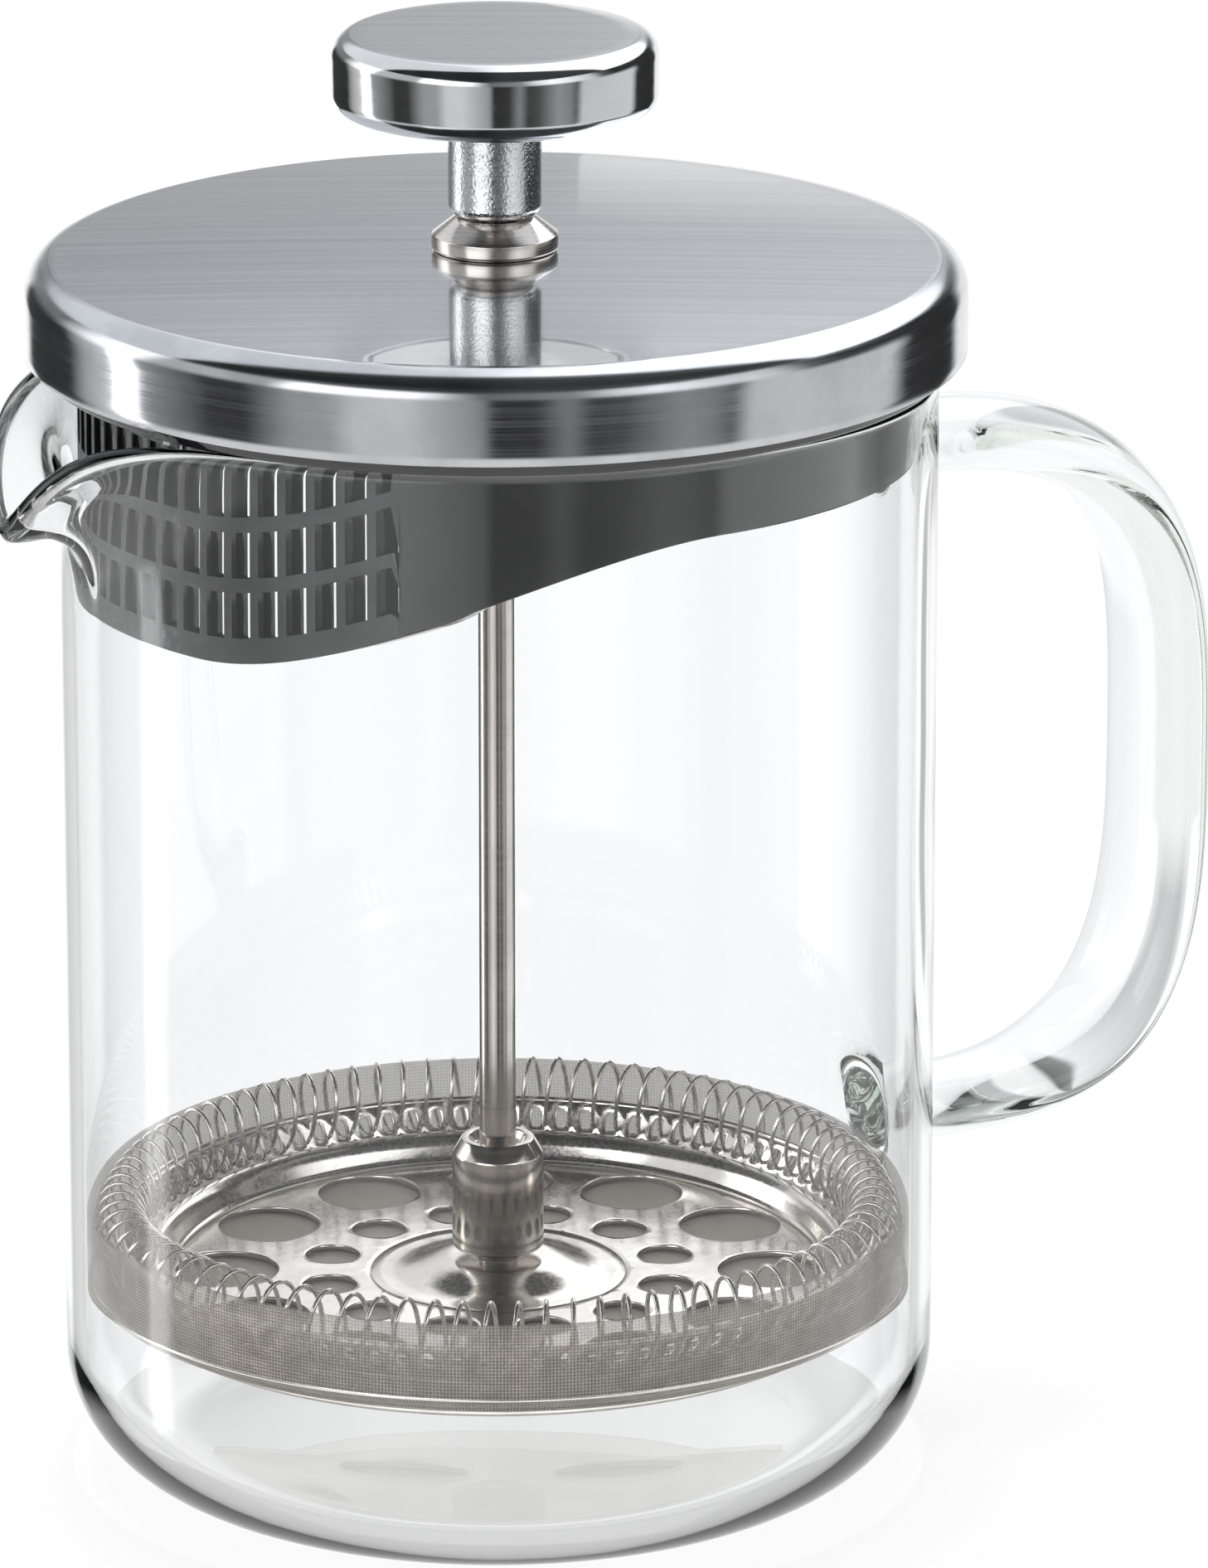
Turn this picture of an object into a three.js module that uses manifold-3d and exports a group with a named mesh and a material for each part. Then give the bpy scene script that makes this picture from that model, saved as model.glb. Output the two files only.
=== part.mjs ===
// Glass press-filter coffee maker, in millimetres, +Z up.
// The origin is the centre of the beaker's flat base; the handle is on +X and the pouring lip on -X.
// The plunger is drawn pressed fully down, with its sleeve resting on the guide bush.
import * as THREE from 'three';
import { mergeVertices } from 'three/addons/utils/BufferGeometryUtils.js';
import Module from 'manifold-3d';

const wasm = await Module();
wasm.setup();

// ---------------------------------------------------------------- driving dimensions
const GAP = 0.3; // clearance kept between neighbouring pieces

const BEAKER_R = 47.5; // outer radius of the glass
const GLASS = 2.0; // wall thickness
const FLOOR = 3.0; // floor thickness
const BASE_ROUND = 14.0; // outer radius of the base corner
const RIM_Z = 123.8; // top of the glass rim
const LIP_REACH = 10.0; // how far the pouring lip stands out from the wall
const LIP_DROP = 10.6; // how far its tip lies below the rest of the rim
const LIP_START_Z = 97.0; // the wall starts to lean out here
const LIP_REACH_SPREAD = THREE.MathUtils.degToRad(18.6); // angle over which the reach fades away
const LIP_DROP_SPREAD = THREE.MathUtils.degToRad(12.7); // angle over which the drop fades away
const LIP_REACH_FALL = 1.8; // power of the reach's fall round the rim
const LIP_DROP_FALL = 1.5; // power of the drop's fall round the rim
const LIP_BEND = 1.8; // power with which the wall bends over into the lip

const HANDLE_TOP_Z = 109.6; // centre of the upper root
const HANDLE_FOOT_Z = 32.4; // centre of the lower root
const HANDLE_REACH = 82.5; // centre of the grip, from the axis
const HANDLE_LINE = [
  [59, 109],
  [70.5, 105.4],
  [78, 97.5],
  [81.6, 86],
  [HANDLE_REACH, 71],
  [81.6, 54],
  [77.5, 42],
  [69, 35],
  [58, 33],
]; // radius and height of its centre line between the roots
const HANDLE_THICK = 8.0; // section in the plane of the handle
const HANDLE_WIDE = 18.0; // section across the grip
const HANDLE_ROOT_WIDE = 12.0; // section across the roots
const HANDLE_WIDENS = [52, 78]; // it widens from root to grip between these radii

const LID_R = 50.5; // outer radius of the steel lid
const LID_SHEET = 0.8;
const LID_BOTTOM_Z = 125.6;
const LID_SHOULDER_Z = 135.5; // top face at its edge
const LID_TOP_Z = 136.2; // top face at its centre
const LID_ROUND = 3.4; // edge radius of the lid
const LID_MIDWAY = 0.55; // share of its radius at which the low dome is broken into two slopes
const LID_MIDWAY_FALL = 0.3; // share of the dome's height lost by then

const SKIRT_R = 44.8; // outer radius of the strainer skirt
const SKIRT_WALL = 1.6;
const SKIRT_LOW_Z = 100.4; // lower edge under the pouring lip
const SKIRT_RISE = 14.8; // rise of that edge towards the handle
const SLOT_COLUMNS = 24;
const SLOT_WIDE = 2.3; // along the skirt
const RIB_PITCH = (2 * Math.PI) / 84; // angle between slot centres
const SLOT_ROWS = [2.8, 9.3, 15.9]; // lower end of each row, above the skirt's edge
const SLOT_TALL = 4.9;
const SLOT_TOP_Z = 122.2; // no slot goes higher
const SLOT_SHORTEST = 1.5;
const SKIRT_RISES = [20, 95]; // the edge rises between these angles from the lip, in degrees
const INSERT_FLANGE_R = 48.2; // rests over the glass rim
const INSERT_CEILING_Z = 132.6; // underside of its top plate
const INSERT_BEVEL = 3.0; // clears the inside of the lid's rounded edge

const ROD_R = 2.0;
const ROD_LOW_Z = 14.6;
const ROD_TOP_Z = 157.6;
const BORE_R = ROD_R + GAP; // every piece threaded over the rod

const BUSH_R = 6.8; // flange of the guide bush
const BUSH_SHANK_R = 4.0;
const BUSH_TOP_Z = 139.9;
const BUSH_TOP_R = 4.2; // small end of its cone
const BUSH_BAND_Z = 137.9; // top of its flange and foot of the cone
const BUSH_SHANK_Z = 128.4; // lower end of its shank
const BUSH_NUT_FLATS = 11.0;
const BUSH_NUT_TALL = 3.2;

const KNOB_R = 17.5;
const KNOB_LOW_Z = 151.4;
const KNOB_TOP_Z = 159.7;
const KNOB_SHEET = 1.0;
const KNOB_ROUND = 2.0;
const SLEEVE_R = 5.0;
const SLEEVE_ROUND = 1.2; // lower edge of the sleeve

const HUB_R = 5.0;
const HUB_LOW_Z = 24.0;
const HUB_TOP_Z = 36.5;
const HUB_BEVEL = [1.05, 1.7]; // width and height of the bevel round its top
const HUB_RECESS = [3.0, 0.8]; // radius and depth of the recess round the rod

const PLATE_Z = 21.1; // upper face of the spiral plate
const PLATE_SHEET = 0.5;
const PLATE_R = 42.0; // outer end of its upturned rim
const PLATE_RIM_Z = 26.5;
const PLATE_RIM_LEAN = 0.6; // how far the rim's inner edge stands in from its outer one
const PLATE_FACE = [
  [BORE_R, 1.8],
  [5.4, 1.8],
  [11.3, 0],
  [35.2, 0],
  [37.2, 2.4],
  [38.8, 2.4],
  [39.8, 2.9],
  [PLATE_R - PLATE_RIM_LEAN, PLATE_RIM_Z - PLATE_Z],
]; // radius and rise of its upper face: boss, flat, bead and upturned rim
const BIG_HOLES = { count: 12, pitchR: 30.5, r: 6.0, turn: 3 };
const SMALL_HOLES = { count: 12, pitchR: 19.0, r: 3.0, turn: 18 };

const SPRING_R = 41.7; // centre of the coil that rings the plate
const SPRING_COIL_R = 2.2;
const SPRING_Z = 29.1;

const MESH_R = 45.0; // outer radius of the fine mesh
const MESH_SHEET = 0.4;
const MESH_TOP_Z = 30.6;
const MESH_DISC_R = 42.4; // where its flat disc turns up into the band
const MESH_BAND_Z = 22.3; // where the band starts

const CROSS_R = 40.0;
const CROSS_SHEET = 1.0;
const CROSS_WINDOWS = { count: 6, pitchR: 25, r: 7.5, turn: 30 };
const CROSS_NUT_R = 5.5;

const ROUND = 60; // facets round a large piece
const SMALL_ROUND = 28; // facets round a small piece

// ---------------------------------------------------------------- helpers
const point = (r, z) => new THREE.Vector2(r, z);
const degrees = THREE.MathUtils.degToRad;
const smooth = (low, high, value) => THREE.MathUtils.smoothstep(value, low, high);

/** Points of an arc in the section plane, from angle start to angle end in degrees. */
function arc(centreR, centreZ, radius, start, end, steps) {
  return Array.from({ length: steps + 1 }, (_, i) => {
    const angle = degrees(start + ((end - start) * i) / steps);
    return point(centreR + radius * Math.cos(angle), centreZ + radius * Math.sin(angle));
  });
}

/** A solid of revolution about Z. The section runs anticlockwise, from the axis back to the axis. */
function turned(section, facets = SMALL_ROUND, start = 0) {
  return new THREE.LatheGeometry(section, facets, start).rotateX(Math.PI / 2);
}

/** A ring about Z, from a section that doesn't touch the axis. */
function ring(section, facets = SMALL_ROUND, start = 0) {
  return turned([...section, section[0].clone()], facets, start);
}

/** A plain round tube between two heights. */
function tube(innerR, outerR, lowZ, topZ, facets = SMALL_ROUND) {
  return ring([point(innerR, lowZ), point(outerR, lowZ), point(outerR, topZ), point(innerR, topZ)], facets);
}

function toSolid(geometry) {
  const bare = geometry.clone();
  bare.deleteAttribute('normal');
  bare.deleteAttribute('uv');
  const merged = mergeVertices(bare, 1e-4);
  return new wasm.Manifold(
    new wasm.Mesh({
      numProp: 3,
      vertProperties: new Float32Array(merged.attributes.position.array),
      triVerts: new Uint32Array(merged.index.array),
    }),
  );
}

function toGeometry(solid) {
  const mesh = solid.getMesh();
  const geometry = new THREE.BufferGeometry();
  geometry.setAttribute('position', new THREE.BufferAttribute(mesh.vertProperties, 3));
  geometry.setIndex(new THREE.BufferAttribute(mesh.triVerts, 1));
  geometry.computeVertexNormals();
  return geometry;
}

/** The geometry with every cutter taken out of it. The cutters don't touch each other. */
function cut(geometry, cutters) {
  const holes = cutters.map(toSolid).reduce((all, next) => all.add(next));
  return toGeometry(toSolid(geometry).subtract(holes));
}

/** Upright round cutters on a circle about Z. */
function holeRing({ count, pitchR, r, turn }, lowZ, topZ, facets = 14) {
  return Array.from({ length: count }, (_, i) => {
    const angle = degrees(turn) + (2 * Math.PI * i) / count;
    const cutter = new THREE.CylinderGeometry(r, r, topZ - lowZ, facets).rotateX(Math.PI / 2);
    return cutter.translate(pitchR * Math.cos(angle), pitchR * Math.sin(angle), (lowZ + topZ) / 2);
  });
}

/** Moves each vertex of a geometry by a function of its place. */
function reshape(geometry, move) {
  const place = new THREE.Vector3();
  const { position } = geometry.attributes;
  for (let i = 0; i < position.count; i += 1) {
    place.fromBufferAttribute(position, i);
    move(place);
    position.setXYZ(i, place.x, place.y, place.z);
  }
  geometry.computeVertexNormals();
  return geometry;
}

/** Angle of a place about Z from the pouring lip's direction, -X. */
const fromLip = (place) => Math.atan2(place.y, -place.x);

// ---------------------------------------------------------------- beaker
/** Middle of the glass wall at an angle from the lip and a height, with the lip drawn out of it. */
function wallMiddle(angle, z) {
  const middleR = BEAKER_R - GLASS / 2;
  const tall = RIM_Z - GLASS / 2 - LIP_START_Z;
  const rise = THREE.MathUtils.clamp((z - LIP_START_Z) / tall, 0, 1);
  const reach = LIP_REACH * Math.exp(-(Math.abs(angle / LIP_REACH_SPREAD) ** LIP_REACH_FALL));
  const drop = LIP_DROP * Math.exp(-(Math.abs(angle / LIP_DROP_SPREAD) ** LIP_DROP_FALL));
  const r = middleR + reach * rise ** 3;
  const sunk = tall * rise - (tall - drop) * (1 - (1 - rise) ** LIP_BEND);
  const height = z - sunk * (drop / LIP_DROP);
  return new THREE.Vector3(-r * Math.cos(angle), r * Math.sin(angle), height);
}

/** Carries a place in the plain turned wall over to the wall with the lip, keeping its thickness. */
function drawOutLip(place) {
  if (place.z < LIP_START_Z) return;
  const step = 0.01;
  const angle = fromLip(place);
  const z = Math.min(place.z, RIM_Z - GLASS / 2);
  const middle = wallMiddle(angle, z);
  const along = wallMiddle(angle, z).sub(wallMiddle(angle, z - step)).normalize();
  const around = wallMiddle(angle + step, z).sub(wallMiddle(angle - step, z));
  const outward = new THREE.Vector3().crossVectors(along, around).normalize();
  const depth = Math.hypot(place.x, place.y) - (BEAKER_R - GLASS / 2);
  const above = place.z - z;
  place.copy(middle).addScaledVector(outward, depth).addScaledVector(along, above);
}

function beaker() {
  const innerR = BEAKER_R - GLASS;
  const innerRound = BASE_ROUND - GLASS;
  const lipRows = [LIP_START_Z, 104, 109, 113.5, 117, 120];
  const section = [
    point(0, 0),
    ...arc(BEAKER_R - BASE_ROUND, BASE_ROUND, BASE_ROUND, -90, 0, 5),
    ...lipRows.map((z) => point(BEAKER_R, z)),
    ...arc(BEAKER_R - GLASS / 2, RIM_Z - GLASS / 2, GLASS / 2, 0, 180, 4),
    ...lipRows.toReversed().map((z) => point(innerR, z)),
    ...arc(innerR - innerRound, FLOOR + innerRound, innerRound, 0, -90, 4),
    point(0, FLOOR),
  ];
  return reshape(turned(section, ROUND), drawOutLip);
}

// ---------------------------------------------------------------- handle
function handle() {
  const rootX = BEAKER_R + GAP;
  const line = [[rootX, HANDLE_TOP_Z], ...HANDLE_LINE, [rootX, HANDLE_FOOT_Z]];
  const path = new THREE.CatmullRomCurve3(line.map(([x, z]) => new THREE.Vector3(x, 0, z)));
  const outline = new THREE.Shape();
  outline.absellipse(0, 0, HANDLE_WIDE / 2, HANDLE_THICK / 2, 0, 2 * Math.PI);
  const sweep = new THREE.ExtrudeGeometry(outline, { steps: 36, curveSegments: 7, extrudePath: path });
  const rootScale = HANDLE_ROOT_WIDE / HANDLE_WIDE;
  return reshape(sweep, (place) => {
    place.y *= THREE.MathUtils.lerp(rootScale, 1, smooth(...HANDLE_WIDENS, place.x));
    place.x = Math.max(place.x, rootX);
  });
}

// ---------------------------------------------------------------- lid
function lidCap() {
  const holeR = BUSH_SHANK_R + GAP;
  const innerRound = LID_ROUND - LID_SHEET;
  const roundR = LID_R - LID_ROUND;
  const roundZ = LID_SHOULDER_Z - LID_ROUND;
  const midwayR = roundR * LID_MIDWAY;
  const midwayZ = THREE.MathUtils.lerp(LID_TOP_Z, LID_SHOULDER_Z, LID_MIDWAY_FALL);
  const section = [
    point(LID_R - LID_SHEET, LID_BOTTOM_Z),
    point(LID_R, LID_BOTTOM_Z),
    ...arc(roundR, roundZ, LID_ROUND, 0, 90, 4),
    point(midwayR, midwayZ),
    point(holeR, LID_TOP_Z),
    point(holeR, LID_TOP_Z - LID_SHEET),
    point(midwayR, midwayZ - LID_SHEET),
    ...arc(roundR, roundZ, innerRound, 90, 0, 3),
  ];
  return ring(section, ROUND);
}

/** Height of the skirt's lower edge at an angle from the pouring lip. */
function skirtEdge(angle) {
  const away = THREE.MathUtils.radToDeg(Math.abs(angle));
  return SKIRT_LOW_Z + SKIRT_RISE * smooth(...SKIRT_RISES, away);
}

/** Cutters for the slots, all along X, in rows that follow the skirt's lower edge. */
function slotCutters() {
  const cutters = [];
  for (let column = 0; column < SLOT_COLUMNS; column += 1) {
    const angle = (column - (SLOT_COLUMNS - 1) / 2) * RIB_PITCH;
    for (const row of SLOT_ROWS) {
      const low = skirtEdge(angle) + row;
      const top = Math.min(row === SLOT_ROWS.at(-1) ? SLOT_TOP_Z : low + SLOT_TALL, SLOT_TOP_Z);
      if (top - low > SLOT_SHORTEST) {
        const slot = new THREE.BoxGeometry(4 * SKIRT_WALL, SLOT_WIDE * Math.cos(angle), top - low);
        const middleR = SKIRT_R - SKIRT_WALL / 2;
        cutters.push(slot.translate(-middleR * Math.cos(angle), middleR * Math.sin(angle), (low + top) / 2));
      }
    }
  }
  return cutters;
}

function strainerInsert() {
  const flangeZ = RIM_Z + GAP;
  const wallR = LID_R - LID_SHEET - GAP;
  const holeR = BUSH_SHANK_R + GAP;
  const plateTopZ = LID_SHOULDER_Z - LID_SHEET - GAP;
  const section = [
    point(holeR, INSERT_CEILING_Z),
    point(SKIRT_R - SKIRT_WALL, INSERT_CEILING_Z),
    point(SKIRT_R - SKIRT_WALL, SKIRT_LOW_Z),
    point(SKIRT_R, SKIRT_LOW_Z),
    point(SKIRT_R, flangeZ),
    point(INSERT_FLANGE_R, flangeZ),
    point(INSERT_FLANGE_R, LID_BOTTOM_Z - GAP),
    point(wallR, LID_BOTTOM_Z - GAP),
    point(wallR, plateTopZ - INSERT_BEVEL),
    point(wallR - INSERT_BEVEL, plateTopZ),
    point(holeR, plateTopZ),
  ];
  const shell = reshape(ring(section, 84, RIB_PITCH / 2), (place) => {
    if (place.z < flangeZ - 1) place.z = skirtEdge(fromLip(place));
  });
  return cut(shell, slotCutters());
}

// ---------------------------------------------------------------- guide through the lid
function guideBush() {
  const flangeZ = LID_TOP_Z + GAP;
  return ring([
    point(BORE_R, BUSH_SHANK_Z),
    point(BUSH_SHANK_R, BUSH_SHANK_Z),
    point(BUSH_SHANK_R, flangeZ),
    point(BUSH_R, flangeZ),
    point(BUSH_R, BUSH_BAND_Z),
    point(BUSH_TOP_R, BUSH_TOP_Z),
    point(BORE_R, BUSH_TOP_Z),
  ]);
}

function bushNut() {
  const cornerR = BUSH_NUT_FLATS / 2 / Math.cos(Math.PI / 6);
  const corners = Array.from({ length: 6 }, (_, i) => {
    const angle = (i * Math.PI) / 3;
    return point(cornerR * Math.cos(angle), cornerR * Math.sin(angle));
  });
  const hexagon = new THREE.Shape(corners);
  const hole = new THREE.Path();
  hole.absarc(0, 0, BUSH_SHANK_R + GAP, 0, 2 * Math.PI, true);
  hexagon.holes.push(hole);
  const settings = { depth: BUSH_NUT_TALL, bevelEnabled: false, curveSegments: 12 };
  const blank = new THREE.ExtrudeGeometry(hexagon, settings);
  return blank.translate(0, 0, INSERT_CEILING_Z - GAP - BUSH_NUT_TALL);
}

// ---------------------------------------------------------------- knob and rod
function knobCap() {
  const inner = KNOB_ROUND - KNOB_SHEET;
  const roundR = KNOB_R - KNOB_ROUND;
  return turned(
    [
      point(0, KNOB_TOP_Z - KNOB_SHEET),
      ...arc(roundR, KNOB_TOP_Z - KNOB_ROUND, inner, 90, 0, 2),
      ...arc(roundR, KNOB_LOW_Z + KNOB_ROUND, inner, 0, -90, 2),
      ...arc(roundR, KNOB_LOW_Z + KNOB_ROUND, KNOB_ROUND, -90, 0, 4),
      ...arc(roundR, KNOB_TOP_Z - KNOB_ROUND, KNOB_ROUND, 0, 90, 4),
      point(0, KNOB_TOP_Z),
    ],
    40,
  );
}

const knobBase = () => tube(BORE_R, KNOB_R - KNOB_ROUND - GAP, KNOB_LOW_Z, KNOB_LOW_Z + KNOB_SHEET, 40);

function knobSleeve() {
  const lowZ = BUSH_TOP_Z + GAP;
  const topZ = KNOB_LOW_Z - GAP;
  return ring([
    point(BORE_R, lowZ),
    ...arc(SLEEVE_R - SLEEVE_ROUND, lowZ + SLEEVE_ROUND, SLEEVE_ROUND, -90, 0, 3),
    point(SLEEVE_R, topZ),
    point(BORE_R, topZ),
  ]);
}

function plungerRod() {
  const lower = [point(0, ROD_LOW_Z), point(ROD_R, ROD_LOW_Z)];
  return turned([...lower, point(ROD_R, ROD_TOP_Z), point(0, ROD_TOP_Z)], 20);
}

// ---------------------------------------------------------------- filter stack
function filterHub() {
  const [bevelWide, bevelTall] = HUB_BEVEL;
  const [recessR, recessDeep] = HUB_RECESS;
  return ring([
    point(BORE_R, HUB_LOW_Z),
    point(HUB_R, HUB_LOW_Z),
    point(HUB_R, HUB_TOP_Z - bevelTall),
    point(HUB_R - bevelWide, HUB_TOP_Z),
    point(recessR, HUB_TOP_Z),
    point(recessR, HUB_TOP_Z - recessDeep),
    point(BORE_R, HUB_TOP_Z - recessDeep),
  ]);
}

function spiralPlate() {
  const upper = PLATE_FACE.map(([r, rise]) => point(r, PLATE_Z + rise));
  const under = upper.map(({ x, y }) => point(x, y - PLATE_SHEET));
  under.at(-1).x += PLATE_RIM_LEAN;
  under.at(-2).x += PLATE_RIM_LEAN / 2;
  const section = [...under, ...upper.toReversed()];
  const low = PLATE_Z - 4 * PLATE_SHEET;
  const high = PLATE_Z + 4 * PLATE_SHEET;
  return cut(ring(section, 48), [...holeRing(BIG_HOLES, low, high), ...holeRing(SMALL_HOLES, low, high, 10)]);
}

function edgeSpring() {
  return new THREE.TorusGeometry(SPRING_R, SPRING_COIL_R, 8, 48).translate(0, 0, SPRING_Z);
}

function meshFilter() {
  const topOfDisc = PLATE_Z - PLATE_SHEET - GAP;
  const bottom = topOfDisc - MESH_SHEET;
  const innerR = MESH_R - MESH_SHEET;
  const section = [
    point(BORE_R, bottom),
    point(MESH_DISC_R, bottom),
    point(MESH_R, MESH_BAND_Z),
    point(MESH_R, MESH_TOP_Z),
    point(innerR, MESH_TOP_Z),
    point(innerR, MESH_BAND_Z + MESH_SHEET / 2),
    point(MESH_DISC_R - MESH_SHEET / 2, topOfDisc),
    point(BORE_R, topOfDisc),
  ];
  return ring(section, ROUND);
}

function crossPlate() {
  const top = PLATE_Z - PLATE_SHEET - MESH_SHEET - 2 * GAP;
  const disc = tube(BORE_R, CROSS_R, top - CROSS_SHEET, top, 48);
  return cut(disc, holeRing(CROSS_WINDOWS, top - 2 * CROSS_SHEET, top + CROSS_SHEET, 18));
}

function crossPlateNut() {
  const top = PLATE_Z - PLATE_SHEET - MESH_SHEET - CROSS_SHEET - 3 * GAP;
  return tube(BORE_R, CROSS_NUT_R, ROD_LOW_Z, top, 20);
}

// ---------------------------------------------------------------- materials and assembly
const finish = (color, roughness, metalness) => ({ color, roughness, metalness });
const GLASS_FINISH = finish(0xdde6e8, 0.03, 0);
const BRUSHED = finish(0xb9bcc0, 0.32, 1);
const POLISHED = finish(0xc4c5c8, 0.12, 1);
const SATIN = finish(0xa9a39a, 0.28, 1);
const WIRE = finish(0x9c968c, 0.4, 1);
const BLACK = finish(0x0c0c0d, 0.16, 0);

const pieces = [
  ['beaker', beaker(), GLASS_FINISH],
  ['handle', handle(), GLASS_FINISH],
  ['lid_cap', lidCap(), BRUSHED],
  ['strainer_insert', strainerInsert(), BLACK],
  ['guide_bush', guideBush(), SATIN],
  ['bush_nut', bushNut(), SATIN],
  ['knob_cap', knobCap(), POLISHED],
  ['knob_base', knobBase(), POLISHED],
  ['knob_sleeve', knobSleeve(), POLISHED],
  ['plunger_rod', plungerRod(), SATIN],
  ['filter_hub', filterHub(), SATIN],
  ['spiral_plate', spiralPlate(), SATIN],
  ['edge_spring', edgeSpring(), WIRE],
  ['mesh_filter', meshFilter(), WIRE],
  ['cross_plate', crossPlate(), SATIN],
  ['cross_plate_nut', crossPlateNut(), SATIN],
];

const press = new THREE.Group();
for (const [name, geometry, look] of pieces) {
  const mesh = new THREE.Mesh(geometry, new THREE.MeshStandardMaterial(look));
  mesh.name = name;
  press.add(mesh);
}

export default press;
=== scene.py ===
"""Finished surfaces, materials and studio of a glass french press, built round its packed model.

Shapes are worked out in millimetres and put into the scene in metres. The origin is the centre of the
beaker's base, the handle is on +X and the pouring lip on -X.
"""
import math

import bmesh
import bpy
import numpy as np
from mathutils import Matrix, Vector


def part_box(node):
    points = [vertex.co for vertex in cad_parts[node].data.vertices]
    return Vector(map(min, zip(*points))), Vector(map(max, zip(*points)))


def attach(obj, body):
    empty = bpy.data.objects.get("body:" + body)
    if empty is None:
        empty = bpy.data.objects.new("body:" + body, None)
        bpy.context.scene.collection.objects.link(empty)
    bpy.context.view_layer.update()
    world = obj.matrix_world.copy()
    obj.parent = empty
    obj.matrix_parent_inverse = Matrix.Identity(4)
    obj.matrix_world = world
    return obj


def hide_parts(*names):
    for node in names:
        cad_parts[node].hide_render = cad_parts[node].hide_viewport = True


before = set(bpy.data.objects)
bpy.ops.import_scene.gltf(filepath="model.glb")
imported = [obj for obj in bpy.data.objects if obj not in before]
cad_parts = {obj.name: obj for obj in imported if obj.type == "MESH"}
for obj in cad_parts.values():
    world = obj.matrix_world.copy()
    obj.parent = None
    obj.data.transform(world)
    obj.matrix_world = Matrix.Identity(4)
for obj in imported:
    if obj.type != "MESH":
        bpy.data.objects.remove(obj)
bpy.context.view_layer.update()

bl_info = {
    "name": "Glass French Press",
    "version": (1, 0, 0),
    "blender": (4, 5, 0),
    "location": "View3D > Sidebar > French Press",
    "description": "Builds the finished glass, steel and plastic of a french press round its packed model",
    "category": "Object",
}

MM = 0.001  # metres in a millimetre
BRUSHED_ALONG = math.radians(-27)  # direction of the straight brushing on the lid and the knob


def node_box(node):
    """Lowest and highest corner of a packed node, in millimetres."""
    return np.array([list(corner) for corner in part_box(node)]) / MM


BEAKER_HIGH = node_box("beaker")[1]
HANDLE_LOW, HANDLE_HIGH = node_box("handle")
LID_LOW, LID_HIGH = node_box("lid_cap")
INSERT_LOW, INSERT_HIGH = node_box("strainer_insert")
BUSH_LOW, BUSH_HIGH = node_box("guide_bush")
NUT_LOW, NUT_HIGH = node_box("bush_nut")
KNOB_LOW, KNOB_HIGH = node_box("knob_cap")
SLEEVE_HIGH = node_box("knob_sleeve")[1]
ROD_LOW, ROD_HIGH = node_box("plunger_rod")
HUB_LOW, HUB_HIGH = node_box("filter_hub")
MESH_LOW, MESH_HIGH = node_box("mesh_filter")
CROSS_LOW, CROSS_HIGH = node_box("cross_plate")
CROSS_NUT_LOW, CROSS_NUT_HIGH = node_box("cross_plate_nut")


# ------------------------------------------------------------------ sizes and colours a user may change
def length(name, description, millimetres, low=0.0):
    """A size property whose default is given in millimetres."""
    return bpy.props.FloatProperty(
        name=name, description=description, default=millimetres * MM, min=low, unit="LENGTH", precision=5
    )


def bearing(name, description, degrees):
    """An angle property whose default is given in degrees."""
    return bpy.props.FloatProperty(
        name=name, description=description, default=math.radians(degrees), unit="ROTATION"
    )


def colour(name, description, rgb):
    """A colour property."""
    return bpy.props.FloatVectorProperty(
        name=name, description=description, default=rgb, min=0.0, max=1.0, size=3, subtype="COLOR"
    )


class GlassSettings(bpy.types.PropertyGroup):
    """Sizes and colour of the beaker and its handle."""

    wall: length("Wall", "Thickness of the glass wall", 2.0)
    floor: length("Floor", "Thickness of the beaker's floor", 3.0)
    base_round: length("Base rounding", "Outer radius of the corner under the wall", 14.0)
    lip_reach: length("Lip reach", "How far the pouring lip stands out from the wall", 10.0)
    lip_drop: length("Lip drop", "How far the lip's tip lies below the rim", 10.6)
    handle_width: length("Handle width", "Width of the grip across the handle", 18.0)
    handle_thickness: length("Handle thickness", "Thickness of the handle in its own plane", 8.0)
    edge_tint: colour("Edge tint", "Colour that long ways through the glass turn to", (0.55, 0.72, 0.62))


class LidSettings(bpy.types.PropertyGroup):
    """Sizes and colour of the steel lid and its guide bush."""

    sheet: length("Sheet", "Thickness of the lid's steel", 0.8)
    edge_round: length("Edge rounding", "Outer radius of the lid's edge", 3.4)
    crown: length("Crown", "How far the middle of the lid stands above its edge", 0.7)
    steel: colour("Brushed steel", "Colour of the brushed steel", (0.60, 0.61, 0.63))


class StrainerSettings(bpy.types.PropertyGroup):
    """Sizes and colour of the black strainer under the lid."""

    wall: length("Wall", "Thickness of the moulding", 1.65)
    slot_width: length("Slot width", "Width of one pouring slot", 2.3)
    rows: bpy.props.IntProperty(name="Rows", description="Rows of slots", default=3, min=1, max=3)
    plastic: colour("Plastic", "Colour of the black moulding", (0.008, 0.008, 0.009))


class PlungerSettings(bpy.types.PropertyGroup):
    """Sizes and colours of the knob, sleeve, rod and hub."""

    knob_round: length("Knob rounding", "Edge radius of the knob", 2.2)
    polished: colour("Polished steel", "Colour of the polished knob and sleeve", (0.70, 0.70, 0.71))
    turned: colour("Turned steel", "Colour of the turned rod, hub and bush", (0.68, 0.64, 0.60))


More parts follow.
